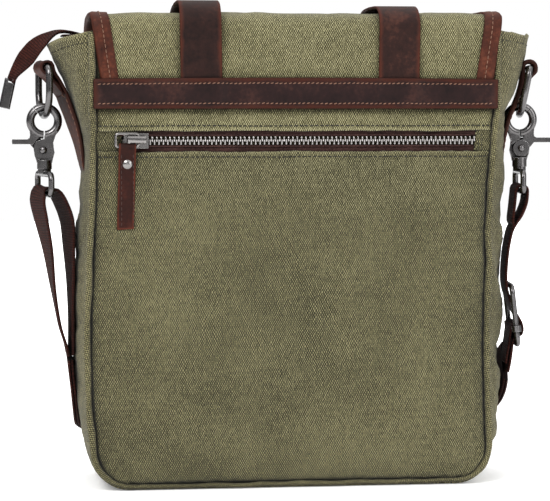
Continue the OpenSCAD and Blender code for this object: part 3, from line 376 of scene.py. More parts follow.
def panel(name, zs, y, n=65, crown=2.0, out=-1, sim=True, amp=0.4, seed=1, xw=133.0, t=1.7, top_free=False, press=7.0, cap=(-1.6, 3.4), post=None, **kw):
    """a flat canvas panel of the body, rounded at its lower corners, crowned and puckered along its seams"""
    zs = np.array(zs, float); tt = cols(n); Z = np.repeat(zs[:, None], n, 1); H = half_w(zs, w=xw)[:, None]; X = H*tt[None, :]
    lo, hi = zs[0], zs[-1]; zz = (Z - lo)/(hi - lo)*2 - 1
    c = crown*(1 - np.abs(tt[None, :])**4)*(1 - np.abs(zz)**6)
    de = np.minimum(H - np.abs(X), np.minimum(Z - lo, 999))
    Y = y + out*(c + 0.55*fbm(X, Z, seed, 120, 3)*smooth(de/20) + 0.14*fbm(X, Z, seed + 5, 22, 2)*smooth(de/8))
    P = np.stack([wx(X, Z), Y, Z], 2)
    flip = out > 0
    if sim:
        pin = np.zeros(P.shape[:2]); pin[0] = 1; pin[-1] = 1; pin[:, 0] = 1; pin[:, -1] = 1
        P = drape(P, pin, press=press, shrink=-0.012, cap=cap, flip=flip, bend=0.25, frames=16)
    P[..., 1] += out*pucker(de, Z + X, amp, seed=seed)
    P[..., 1] -= out*2.6*np.clip(1 - de/3.2, 0, 1)**2
    if post is not None: P = post(P, X, Z)
    uv = np.stack([X, Z], 2); e = np.full(X.shape, 9.0) if not top_free else hi - Z
    # painted shade: the crease values darken the colour along the side and bottom seams, less near the base
    return grid(name, P, t, uv=uv, edge=e, crease=(np.clip(1 - de/2.6, 0, 1)**1.3 + 0.22*np.exp(-de/5))*(0.3 + 0.7*smooth((Z - 5)/22)), flip=flip, **kw), P

# back, below the zip
def fold_low(P, X, Z):
    P[..., 1] += 0.55*np.exp(-((Z - 219.8)/0.9)**2)*(0.7 + 0.3*np.sin(X*6.283/4.4)) - 0.35*np.exp(-((Z - 222.0)/1.3)**2)
    P[..., 2] += np.where(Z > 217, 0.28*fbm(X, X*0, 31, 50), 0); return P
zl = np.concatenate([ROWS0, np.linspace(31, 214, 44), [217, 218.7, 219.8, 221.0, 222.2, 223.2]])
back, _ = panel("back_canvas_lower", zl, -40.0, seed=11, crown=1.6, top_free=True, post=fold_low, t=1.9, body="bag", slot="canvas", replaces=["back_panel_lower"], mats=[CANVAS])
# between the zip and the band, up to the hem
def fold_up(P, X, Z):
    P[..., 1] += 0.5*np.exp(-((Z - 240.2)/0.9)**2)*(0.7 + 0.3*np.sin(X*6.283/4.4)) - 0.3*np.exp(-((Z - 238.2)/1.2)**2)
    P[..., 2] += np.where(Z < 243, 0.25*fbm(X, X*0, 37, 50), 0); return P
zu = np.concatenate([[237.4, 238.3, 239.2, 240.2, 241.3, 243], np.linspace(247, 302, 12)])
tt = cols(65); Z = np.repeat(zu[:, None], 65, 1); X = 133.0*np.repeat(tt[None, :], len(zu), 0)
Y = -40.0 - 0.5*fbm(X, Z, 21, 60, 3)*smooth((133 - np.abs(X))/10)*smooth((252 - Z)/6) - pucker(133 - np.abs(X), Z, 0.4, seed=5)*smooth((252 - Z)/6)
P = fold_up(np.stack([wx(X, Z), Y + 2.6*np.clip(1 - (133 - np.abs(X))/3.2, 0, 1)**2, Z], 2), X, Z); P[..., 1] = np.where(Z > 251, np.maximum(P[..., 1], -40.0), P[..., 1])
dx_ = 133 - np.abs(X)
# painted shade: darker along the side seams and over the whole panel above z 247, behind the band and flap
upper = grid("back_canvas_upper", P, 1.9, uv=np.stack([X, Z], 2), edge=Z - 237.4, crease=np.clip(1 - dx_/2.6, 0, 1)**1.3 + 0.22*np.exp(-dx_/5) + 0.5*smooth((Z - 247)/4), body="bag", slot="canvas", replaces=["back_panel_upper"], mats=[CANVAS_FLAP])
Sb, Su = Surf(back), Surf(upper)
for sgn, nm in ((-1, "left"), (1, "right")):
    x_in = 121.6 if sgn > 0 else 115.6; x = np.linspace(x_in, 132.6, 9)*sgn; z = np.linspace(222.2, 238.6, 8); X, Z = np.meshgrid(x, z)
    Y = -39.0 - 0.5*np.sin(np.clip((np.abs(X) - x_in)/(133 - x_in), 0, 1)*math.pi) - 0.2*fbm(X, Z, 3, 9)
    # painted shade: darker along the tab's upper and lower edges and at its outer end
    o = grid("zip_end_tab_" + nm, np.stack([wx(X, Z), Y, Z], 2), 1.4, uv=np.stack([X, Z], 2), flip=sgn < 0, edge=np.full(X.shape, 9.0), crease=0.45*np.exp(-np.minimum(238.6 - Z, Z - 222.2)/1.2) + 0.35*np.exp(-np.abs(133 - np.abs(X))/2), body="bag", slot="canvas", mats=[CANVAS])
    St = Surf(o); runs = [St.along([(wx(k*sgn, 230), -60, zz) for zz in np.linspace(223.5, 237.2, 8)], (0, 1, 0)) for k in (x_in + 1.9, x_in + 4.2)]
    stitches("zip_end_stitches_" + nm, runs, 3.0, 2.2, 0.3, body="bag", slot="canvas", mats=[DARK])
# topstitching beside the opening
xs = np.linspace(-131, 131, 160)
stitches("opening_stitches", [Sb.along([(wx(x, 219.8), -60, 219.8 + 0.15*math.sin(x*.1)) for x in xs], (0, 1, 0)), Su.along([(wx(x, 240.2), -60, 240.2 + 0.15*math.sin(x*.07)) for x in xs], (0, 1, 0))],
         3.4, 2.5, 0.5, lift=0.06, body="bag", slot="canvas", mats=[thread("thread_dark_green", (10, 10, 5), (34, 32, 20))])

# zip pocket: tapes, teeth, pocket bag
def tape(name, x0, x1, y0, ya, yb, nrm, n=90, **kw):
    """a ribbed tape along X; ya..yb its two edges in the second axis"""
    x = np.linspace(x0, x1, n); k = np.linspace(0, 1, 7); X, K = np.meshgrid(x, k); B = ya + (yb - ya)*K
    off = 0.18*fbm(X, B, 8, 40) + 0.35*np.exp(-((K if abs(ya) < abs(yb) else 1 - K)/0.12)**2)
    P = np.stack([X, y0 - off, B], 2) if nrm == "y" else np.stack([X, B, y0 + off], 2)
    flip = (yb < ya) if nrm == "y" else (yb > ya)
    return grid(name, P, 0.8, uv=np.stack([X, B], 2), flip=flip, **kw)
t1 = tape("back_tape_upper", -124, 127, -38.0, 230.5 + 3.3, 230.5 + 15, "y", body="bag", slot="tape", mats=[TAPE])
t2 = tape("back_tape_lower", -124, 127, -38.0, 230.5 - 15, 230.5 - 3.3, "y", body="bag", slot="tape", replaces=["back_zip_tapes"], mats=[TAPE])
def teeth(name, axis, centre, x0, n, pitch, **kw):
    """moulded metal teeth, two rows interleaved: small rounded blocks with a dimple and a foot clamped on the cord"""
    V, F, b = [], [], 0
    prof = [(-2.7, 0.62, 0.8), (-2.5, 0.72, 1.05), (-1.5, 0.66, 1.0), (-0.55, 0.62, 1.05), (0.1, 0.74, 1.35), (0.5, 0.74, 1.38), (0.8, 0.4, 0.9)]
    for row in (-1, 1):
        for i in range(n):
            cx = x0 + i*pitch + (pitch/2 if row > 0 else 0)
            ring = []
            for bb, wx_, hh in prof:
                k = 10
                for j in range(k):
                    a = 2*math.pi*j/k; ca, sa = math.cos(a), math.sin(a)
                    ex, ey = math.copysign(abs(ca)**0.6, ca)*wx_*0.92, math.copysign(abs(sa)**0.6, sa)*hh
                    V.append((cx + ex, ey, -row*bb*1.0)); 
            m = len(prof)
            for r_ in range(m - 1):
                for j in range(10):
                    q = [b + r_*10 + j, b + r_*10 + (j+1) % 10, b + (r_+1)*10 + (j+1) % 10, b + (r_+1)*10 + j]
                    F.append(q if row > 0 else q[::-1])
            c0, c1 = list(range(b, b + 10)), list(range(b + (m-1)*10, b + m*10))
            F.append(c0[::-1] if row > 0 else c0); F.append(c1 if row > 0 else c1[::-1]); b += m*10
    V = np.array(V)
    if axis == "y": V = np.stack([V[:, 0], centre[0] - V[:, 1], centre[1] + V[:, 2]], 1)
    else: V = np.stack([V[:, 0], V[:, 2], centre[1] + V[:, 1]], 1); F = [f for f in F]
    return make(name, V, F, V[:, [0, 2]], **kw)
teeth("back_zip_chain", "y", (-38.9, 230.5), -113.6, 81, 2.9, body="bag", slot="zip_metal", replaces=["back_zip_teeth"], mats=[METAL_TEETH])
for s_, nm in ((1, "upper"), (-1, "lower")):
    x = np.linspace(-118, 118, 80); sweep("zip_cord_" + nm, np.stack([x, 0*x - 38.5, 230.5 + s_*3.5 + 0*x], 1), (0, 0, 1), circ(0.75, 8), body="bag", slot="tape", mats=[TAPE])

def tub(name, x0, x1, y0, y1, z0, z1, t, r=10, nh=16, amp=0.4, seed=1, rb=0, **kw):
    """an open-topped cloth liner with rounded corners and a closed floor"""
    per = []
    for cx, cy, a0 in ((x1 - r, y1 - r, 0), (x0 + r, y1 - r, 90), (x0 + r, y0 + r, 180), (x1 - r, y0 + r, 270)):
        per += [(cx + r*math.cos(math.radians(a)), cy + r*math.sin(math.radians(a))) for a in np.linspace(a0, a0 + 90, 5)]
    per = np.array(per + per[:1]); per = resample(per, n=72)
    c = np.array([(x0 + x1)/2, (y0 + y1)/2]); rows = [(k, z0) for k in (0.03, 0.4, 0.8, 0.96)] + [(1.0, z0 + 1.5)] + [(1.0, z) for z in ([z0 + 5, z0 + 10, z0 + 15, z0 + 20] if rb else []) + list(np.linspace(z0 + (26 if rb else 8), z1, nh))]
    P = np.array([[[c[0] + (p[0] - c[0])*k, c[1] + (p[1] - c[1])*k, z] for p in per] for k, z in rows])
    s = arc(np.column_stack([per, 0*per[:, 0]])); w = amp*fbm(s[None, :], P[..., 2], seed, 50, 3)*smooth((P[..., 2] - z0)/20)
    d = unit(per - c)
    dz = np.clip(P[..., 2] - z0, 0, rb); hwid = (x1 - x0)/2; k_ = (hwid - rb + np.sqrt(np.clip(rb*rb - (rb - dz)**2, 0, None)))/hwid; P[..., 0] = c[0] + (P[..., 0] - c[0])*k_
    P[..., 0] -= np.abs(w)*d[:, 0]; P[..., 1] -= np.abs(w)*d[:, 1]; P[:, -1] = P[:, 0]
    uv = np.stack(np.broadcast_arrays(s[None, :], P[..., 2]), 2)
    return grid(name, P, t, uv=uv, rim=0.3, **kw)
tub("lining_bag", -130.2, 130.2, -32.8, 36.2, 5.6, 296, 0.7, rb=21.5, body="bag", slot="lining", replaces=["lining"], mats=[LINING])
tub("sleeve_padded", -117.3, 117.3, -31.6, -19.2, 10.0, 236, 2.0, r=4, body="bag", slot="lining", replaces=["tablet_sleeve"], mats=[LINING], seed=4)
tub("organizer_pocket", -111.8, 111.8, 30.6, 35.3, 110, 232, 0.8, r=2.0, amp=0.2, body="bag", slot="lining", replaces=["inner_organizer"], mats=[LINING], seed=6)
tub("zip_pocket_bag", -117, 117, -37.6, -33.4, 70, 215, 0.5, r=1.8, amp=0.15, body="bag", slot="lining", replaces=["back_pocket_bag"], mats=[LINING], seed=7)

# gussets with their ears
bulge_l = [(26.4, 3), (40, 6), (60, 9), (80, 11.6), (103, 12.6), (130, 11.8), (158, 10.2), (176, 9.2), (186, 5.8), (197, 7), (209, 5.6), (222, 5.2), (233, 6.4), (244, 9.4), (257, 13.4), (270, 17.4), (281, 22.4), (290, 25.8), (297, 28.2)]
bulge_r = [(26.4, 8), (33, 10.5), (60, 11), (76, 12.6), (93, 10), (113, 14), (130, 12.6), (143, 11.8), (165, 14), (182, 12.6), (191, 10.6), (196, 13), (213, 14.6), (232, 14.2), (250, 15.6), (256, 18.6), (263, 22.6), (274, 26.8), (284, 29.8), (297, 32.0)]
def gusset_grid(s, zs, ys):
    T, p, top, rise, ex = (bulge_l, 1.6, 293, 10, 0.42) if s < 0 else (bulge_r, 2.0, 300.5, 4.5, 0.75)
    Z, Y = np.meshgrid(zs, ys, indexing="ij"); r = np.abs(Y)/38.0
    f = 1 - r**p; q = np.where((Z < 110) & (Y > 0), 1 - 0.45*np.minimum(1, (110 - Z)/40)*Y/40, 1)
    zt = np.where(Z < 262, Z, Z + (Z - 262)/35*(top - 297 + rise*((r*r + 0.004)**ex - 0.004**ex)))
    seam = np.abs(wx(s*132.6, Z)) ; X = s*(seam*(r**3) + 133.0*(1 - r**3) + table(T, Z)*f*q)
    return np.stack([X, Y, zt], 2), Z, Y
for s_, nm in ((-1, "left"), (1, "right")):
    zs = np.concatenate([np.linspace(26.4, 290, 66), [293, 295.5, 297]]); ys = np.linspace(-38.2, 38.2, 31)
    P, Z, Y = gusset_grid(s_, zs, ys); r = np.abs(Y)/38.2
    pin = np.zeros(P.shape[:2]); pin[:, 0] = pin[:, -1] = 1; pin[0] = 1
    pin[(np.abs(Y) < 13) & (Z > 205)] = 0.6 if s_ < 0 else 0.5
    P = drape(P, pin, press=3.5, shrink=-0.022, cap=(-1.3, 1.5), flip=s_ < 0, bend=0.15, frames=16, tan=1.0)
    P[..., 0] += s_*(pucker(38.2 - np.abs(Y), Z, 0.5, 12, 8, seed=13 + s_) + 0.5*fbm(Y, Z, 41 + s_, 42, 3)*smooth((1 - r)/0.3)*smooth((np.abs(Y) - 9)/8 + smooth((200 - Z)/10)))
    keep = (np.abs(Y) < 14) & (Z > 206); lim = gusset_grid(s_, zs, ys)[0]
    P[..., 0] = np.where(keep, s_*np.minimum(np.abs(P[..., 0]), np.abs(lim[..., 0]) + 0.2), P[..., 0])
    hem = 0.5*np.exp(-((297 - Z)/1.6)**2); P[..., 0] += s_*hem
    # painted shade: darker along the front and back seams of the gusset
    o = grid("gusset_" + nm + "_canvas", P, 1.5, uv=np.stack([Y, Z], 2), flip=s_ < 0, edge=297 - Z, crease=0.8*np.clip(1 - (38.2 - np.abs(Y))/3.0, 0, 1), body="bag", slot="canvas", replaces=["gusset_" + nm], mats=[CANVAS_SIDE])
    So = Surf(o)
    for k, dz in enumerate((6.0,)):
        g = gusset_grid(s_, np.array([297 - dz]), np.linspace(-36, 36, 50))[0][0]
        pts, nn = So.along([(g[i, 0] + s_*20, g[i, 1], g[i, 2]) for i in range(50)], (-s_, 0, 0))
        stitches("ear_stitches_" + nm, [(pts, nn)], 4.2, 3.0, 0.36, body="bag", slot="canvas", mats=[DARK])
    g = gusset_grid(s_, np.linspace(40, 285, 90), np.array([-34.6]))[0][:, 0]
    pts, nn = So.along([(g[i, 0] + s_*16, g[i, 1], g[i, 2]) for i in range(90)], (-s_, 0, 0))
    g2 = gusset_grid(s_, np.linspace(40, 285, 90), np.array([34.6]))[0][:, 0]; pts2, nn2 = So.along([(g2[i, 0] + s_*16, g2[i, 1], g2[i, 2]) for i in range(90)], (-s_, 0, 0))
    stitches("seam_stitches_" + nm, [(pts, nn), (pts2, nn2)], 4.4, 3.1, 0.36, body="bag", slot="canvas", mats=[DARK])

# rolled seams round the back and front panels
def outline(y, w=135.0, r=24.0, z0=2.3, ztop=302.0, step=3.0, out=0.0):
    a = np.linspace(0, math.pi/2, 10)
    L = [(-w, z) for z in np.linspace(ztop, z0 + r + 2, 60)] + [(-w + r - r*math.cos(t), z0 + r - r*math.sin(t)) for t in a] + [(x, z0) for x in np.linspace(-w + r + 3, w - r - 3, 50)] + \
        [(w - r + r*math.sin(t), z0 + r - r*math.cos(t)) for t in a] + [(w, z) for z in np.linspace(z0 + r + 2, ztop, 60)]
    L = np.array(L); return resample(np.stack([wx(L[:, 0], L[:, 1]), y + 0*L[:, 0], L[:, 1]], 1), step)
for y, nm in ((-39.2, "back"), (39.2, "front")):
    P = outline(y, 134.7, 23.9, 2.7, 301.5); s = arc(P)
    P[:, 1] += 0.25*fbm(s, s*0, 51, 45); c = A(0, 0, 140); d = unit((P - c)*A(1, 0, 1)); P += d*(0.3*fbm(s, s*0, 52, 38))[:, None]
    sc = (1 + 0.07*fbm(s, s*0, 53, 24))*(1 - 0.36*smooth((11 - P[:, 2])/7))
    def shp(V, s, prof): return V
    sweep("rolled_seam_" + nm, P, (0, 1, 0), circ(2.7, 12, 2.35), scale=sc, plain_edge=True, body="bag", slot="canvas", replaces=(["seam_welts"] if nm == "back" else []), mats=[CANVAS_SIDE])

# base, front and front pocket
L = [(-134.6, 30), (-135.2, 26)] + [(-134.9 + 23.6*(1 - math.cos(t)), 25.4 - 23.6*math.sin(t)) for t in np.linspace(0.1, math.pi/2, 10)]
L = L + [(x, 1.8) for x in np.linspace(-108, 0, 20)]; L = np.array(L + [(-x, z) for x, z in L[::-1]]); L = L[np.concatenate([[True], np.linalg.norm(np.diff(L, axis=0), axis=1) > .1])]
ys = np.linspace(-37.6, 37.6, 21); P = np.zeros((len(L), 21, 3)); P[..., 1] = ys
P[..., 0] = wx(L[:, 0], L[:, 1])[:, None]; P[..., 2] = L[:, 1][:, None]; b = (1 - (np.abs(ys)/37.6)**4)[None, :]
cen = A(0, 60); dv = unit(L - cen); P[..., 0] += np.sign(L[:, 0])[:, None]*np.abs(dv[:, 0])[:, None]*b*1.2; P[..., 2] = np.maximum(P[..., 2] - 1.2*b*np.abs(dv[:, 1])[:, None], 0.35)
S = arc(np.column_stack([L, 0*L[:, 0]]))
grid("base_canvas", P, 1.5, uv=np.stack(np.broadcast_arrays(ys[None, :], S[:, None] - S[-1]/2), 2), flip=True, body="bag", slot="canvas", replaces=["base_panel"], mats=[CANVAS_SIDE])
x = np.linspace(-106, 106, 30); y = np.linspace(-32.5, 34.5, 12); X, Y = np.meshgrid(x, y)
grid("base_stiffener", np.stack([X, Y, 4.9 + 0.1*fbm(X, Y, 3, 60)], 2), 2.0, uv=np.stack([X, Y], 2), flip=False, body="bag", slot="lining", replaces=["base_board"], mats=[LINING])
front, _ = panel("front_canvas", np.concatenate([ROWS0, np.linspace(31, 302, 52)]), 40.0, seed=61, crown=1.0, out=1, t=1.7, press=5, cap=(-1.2, 2.2), body="bag", slot="canvas", replaces=["front_panel"], mats=[CANVAS])
x = np.concatenate([[-112, -111.9], np.linspace(-111.3, -104, 5), np.linspace(-99, 99, 40), np.linspace(104, 111.3, 5), [111.9, 112]])
z = np.concatenate([[18, 18.1, 18.8, 20.5, 23], np.linspace(28, 186, 34), [188, 189.2, 190]]); X, Z = np.meshgrid(x, z)
hx, hz = np.clip((112 - np.abs(X))/7, 0, 1), np.clip((Z - 18)/7, 0, 1); H = np.sqrt(np.clip(1 - (1 - hx)**3, 0, 1))*np.sqrt(np.clip(1 - (1 - hz)**3, 0, 1))
Yp = 41.6 + 10.0*H*(0.93 + 0.07*np.cos(X/112*1.5)) + 0.35*fbm(X, Z, 67, 60)*H*smooth((190 - Z)/10) - 0.6*np.exp(-((Z - 184)/0.9)**2)*H
grid("front_pocket_canvas", np.stack([wx(X, Z*0 + 225), Yp, Z], 2), 1.4, uv=np.stack([X, Z], 2), flip=True, body="bag", slot="canvas", replaces=["front_pocket"], mats=[CANVAS_SIDE])

# top closure
for s_, nm in ((-1, "rear"), (1, "front")):
    x = np.linspace(-130.6, 130.6, 50); k = np.linspace(0, 1, 9); X, K = np.meshgrid(x, k)
    Yt = s_*(37.4 - (37.4 - 14.6)*K); Zt = 298.4 - 1.1*np.sin(K*math.pi)*(0.7 + 0.3*fbm(X, K, 71, 80)) + 0.3*(K < 0.06)
    grid("top_panel_" + nm, np.stack([X, Yt, Zt], 2), 1.0, uv=np.stack([X, Yt], 2), flip=s_ > 0, body="bag", slot="canvas", replaces=(["top_closure_panels"] if s_ < 0 else []), mats=[CANVAS])
tape("top_tape_front", -152, 137, 299.4, 3.5, 15.5, "z", body="bag", slot="tape", mats=[TAPE])
tape("top_tape_rear", -152, 137, 299.4, -15.5, -3.5, "z", body="bag", slot="tape", replaces=["top_zip_tapes"], mats=[TAPE])
teeth("top_zip_chain", "z", (0, 299.15), -130.0, 89, 2.9, body="bag", slot="zip_metal", replaces=["top_zip_teeth"], mats=[METAL_TEETH])

# ---------------------------------------------------------------- flap, in two halves
FA = (("bag", "flap_over", (0, -42, 292), (0, -26, 318)))
FB = (("flap_over", "flap_face", (0, 30, 318), (0, 52, 288)))
DXF, ROLL = 2.0, 0.0045
pa = spl([(-41.15, 253.2), (-41.2, 275), (-41.25, 298), (-41.1, 303.6), (-39.6, 308.6), (-35.6, 312.2), (-29, 313.8), (-20, 314.2), (-8, 314.3), (5, 314.2)], 5)
pb = spl([(3, 314.2), (14, 314.2), (26, 313.8), (36, 312.4), (45, 308.6), (51.4, 302.6), (54.3, 294), (54.4, 270), (54.3, 200), (54.2, 133), (54.1, 106.4)], 6)
def wid(y, z): return np.where(y < -30, 128.6 + np.clip(z - 262, -10, 52)*0.138, 135.2)
def flap_w(P):   # half-width along a flap path of (y, z)
    w = np.interp(arc(np.column_stack([P, P[:, 0]*0])), *zip(*[(0, 127.6), (17.6, 128.8), (62, 135.4), (400, 135.4)])) if P[0, 1] < 300 else np.full(len(P), 135.4)
    return w
def tilt(P):
    P = P.copy(); P[..., 2] += ROLL*P[..., 0]*smooth((P[..., 2] - 258)/40)*(P[..., 1] < 60); return P
ra = resample(pa, 2.2); wa = flap_w(ra); tt = cols(61)
X = wa[:, None]*tt[None, :]; P = np.stack([X + DXF, np.repeat(ra[:, :1], 61, 1), np.repeat(ra[:, 1:], 61, 1)], 2)
sa = arc(np.column_stack([ra, ra[:, 0]*0])); inx = smooth((wa[:, None] - np.abs(X) - 9)/12)
nA = unit(np.stack([np.zeros_like(X), -np.gradient(P[..., 2], axis=0), np.gradient(P[..., 1], axis=0)], 2)) 
top_ = smooth((sa - 55)/12)[:, None]; rear_ = smooth((sa - 20)/10)[:, None]
bump = (0.55*fbm(X, sa[:, None], 81, 70, 3)*rear_ + 0.9*top_*(0.35 + fbm(X, sa[:, None], 82, 55, 2)*0.4))*inx
P = P + nA*np.clip(bump, -0.3, 1.6)[..., None]; P = tilt(P)
flapA = grid("flap_canvas_rear", P, 1.6, uv=np.stack([X, np.broadcast_to(sa[:, None], X.shape)], 2), flip=False, edge=np.full(X.shape, 9.0), blend=FA, slot="canvas", replaces=["flap_rear", "flap_top"], mats=[CANVAS_FLAP])
rb = resample(pb, 2.6); wb = np.full(len(rb), 135.2); zb = rb[:, 1]; fr = zb < 133.4
wb = np.where(fr, 135.2 - 27 + np.sqrt(np.clip(27**2 - np.clip(133.4 - zb, 0, 27)**2, 0, None)), wb)
X = wb[:, None]*tt[None, :]; P = np.stack([X + DXF, np.repeat(rb[:, :1], 61, 1), np.repeat(rb[:, 1:], 61, 1)], 2)
sb = arc(np.column_stack([rb, rb[:, 0]*0])); nB = unit(np.stack([np.zeros_like(X), -np.gradient(P[..., 2], axis=0), np.gradient(P[..., 1], axis=0)], 2))
inx = smooth((wb[:, None] - np.abs(X) - 9)/14)*smooth((zb[:, None] - 114)/14); lowk = smooth((sb - 20)/20)[:, None]
bump = (0.6*fbm(X, sb[:, None], 84, 80, 3) + 0.25)*inx; P = P + nB*np.clip(bump, -0.5, 1.3)[..., None]; P = tilt(P)
flapB = grid("flap_canvas_front", P, 1.6, uv=np.stack([X, np.broadcast_to(sb[:, None] + sa[-1], X.shape)], 2), flip=False, edge=np.full(X.shape, 9.0), blend=FB, slot="canvas", replaces=["flap_front"], mats=[CANVAS_FLAP])

# leather binding folded round the flap's edge: a slim lens with the cloth inside it
def bprof(w=11.0): return np.array([(0, 1.35), (w*0.5, 1.5), (w - 1.5, 1.75), (w - 0.3, 1.2), (w + 0.6, 0), (w - 0.3, -2.6), (w - 1.5, -3.0), (w*0.5, -2.9), (0, -2.7), (-0.25, -1.2), (-0.25, 0.9)])
bind_runs_a, bind_runs_b = [], []
for s_, nm in ((-1, "left"), (1, "right")):
    C = np.column_stack([s_*(wa - 9.8) + DXF, ra[:, 0], ra[:, 1]]); keep = C[:, 2] > 256; keep |= C[:, 1] > -40; C = C[keep]; C = tilt(C)
    sc = 1 + 0.04*fbm(arc(C), arc(C)*0, 91 + s_, 30)
    prof = bprof(); prof = prof[:, :]*A(1, 1)
    sweep("flap_binding_rear_" + nm, C, A(s_, 0, 0), prof, side=-s_, scale=np.stack([0*sc + 1, sc], 1), blend=FA, slot="edge_leather", replaces=(["flap_binding_rear", "flap_binding_top"] if s_ < 0 else []), mats=[BINDING])
    for w_, L_ in ((5.2, bind_runs_a),):
        Cm = C + A(s_*w_, 0, 0); T = unit(np.gradient(C, axis=0)); N = unit(np.cross(T, A(-1.0, 0, 0))); N = N*np.sign((N*(C - A(0, 0, 200))).sum(1))[:, None]
        L_.append((Cm + N*1.62, N))
stitches("flap_stitches_rear", bind_runs_a, 3.3, 2.4, 0.34, blend=FA, slot="edge_leather", mats=[TAN])
# front: down the left edge, round, across, and up the right edge in one strip
side_ = [( -1, y, z) for y, z in rb if z > 134]
L = [np.array([-(135.2 - 10.2), y, z]) for _, y, z in side_]; W = [A(-1, 0, 0)]*len(L)
cx, cz, R = 135.2 - 27, 133.4, 27 - 10.2
for t in np.linspace(0.04, math.pi/2 - 0.04, 12): L.append(A(-cx - R*math.cos(t), 54.15, cz - R*math.sin(t))); W.append(A(-math.cos(t), 0, -math.sin(t)))
for x in np.linspace(-cx, cx, 70): L.append(A(x, 54.15, cz - R)); W.append(A(0, 0, -1))
for t in np.linspace(math.pi/2 - 0.04, 0.04, 12): L.append(A(cx + R*math.cos(t), 54.15, cz - R*math.sin(t))); W.append(A(math.cos(t), 0, -math.sin(t)))
for _, y, z in side_[::-1]: L.append(A(135.2 - 10.2, y, z)); W.append(A(1, 0, 0))
L = np.array(L); L[:, 0] += DXF; L = tilt(L); W = np.array(W); sc = 1 + 0.04*fbm(arc(L), arc(L)*0, 95, 30)
ob = sweep("flap_binding_front_strip", L, W, bprof(), side=1, scale=np.stack([0*sc + 1, sc], 1), blend=FB, slot="edge_leather", replaces=["flap_binding_front"], mats=[BINDING])
T = unit(np.gradient(L, axis=0)); N = unit(np.cross(T, W))
stitches("flap_stitches_front", [(L + W*5.2 + N*1.62, N)], 4.0, 2.9, 0.36, blend=FB, slot="edge_leather", mats=[TAN])

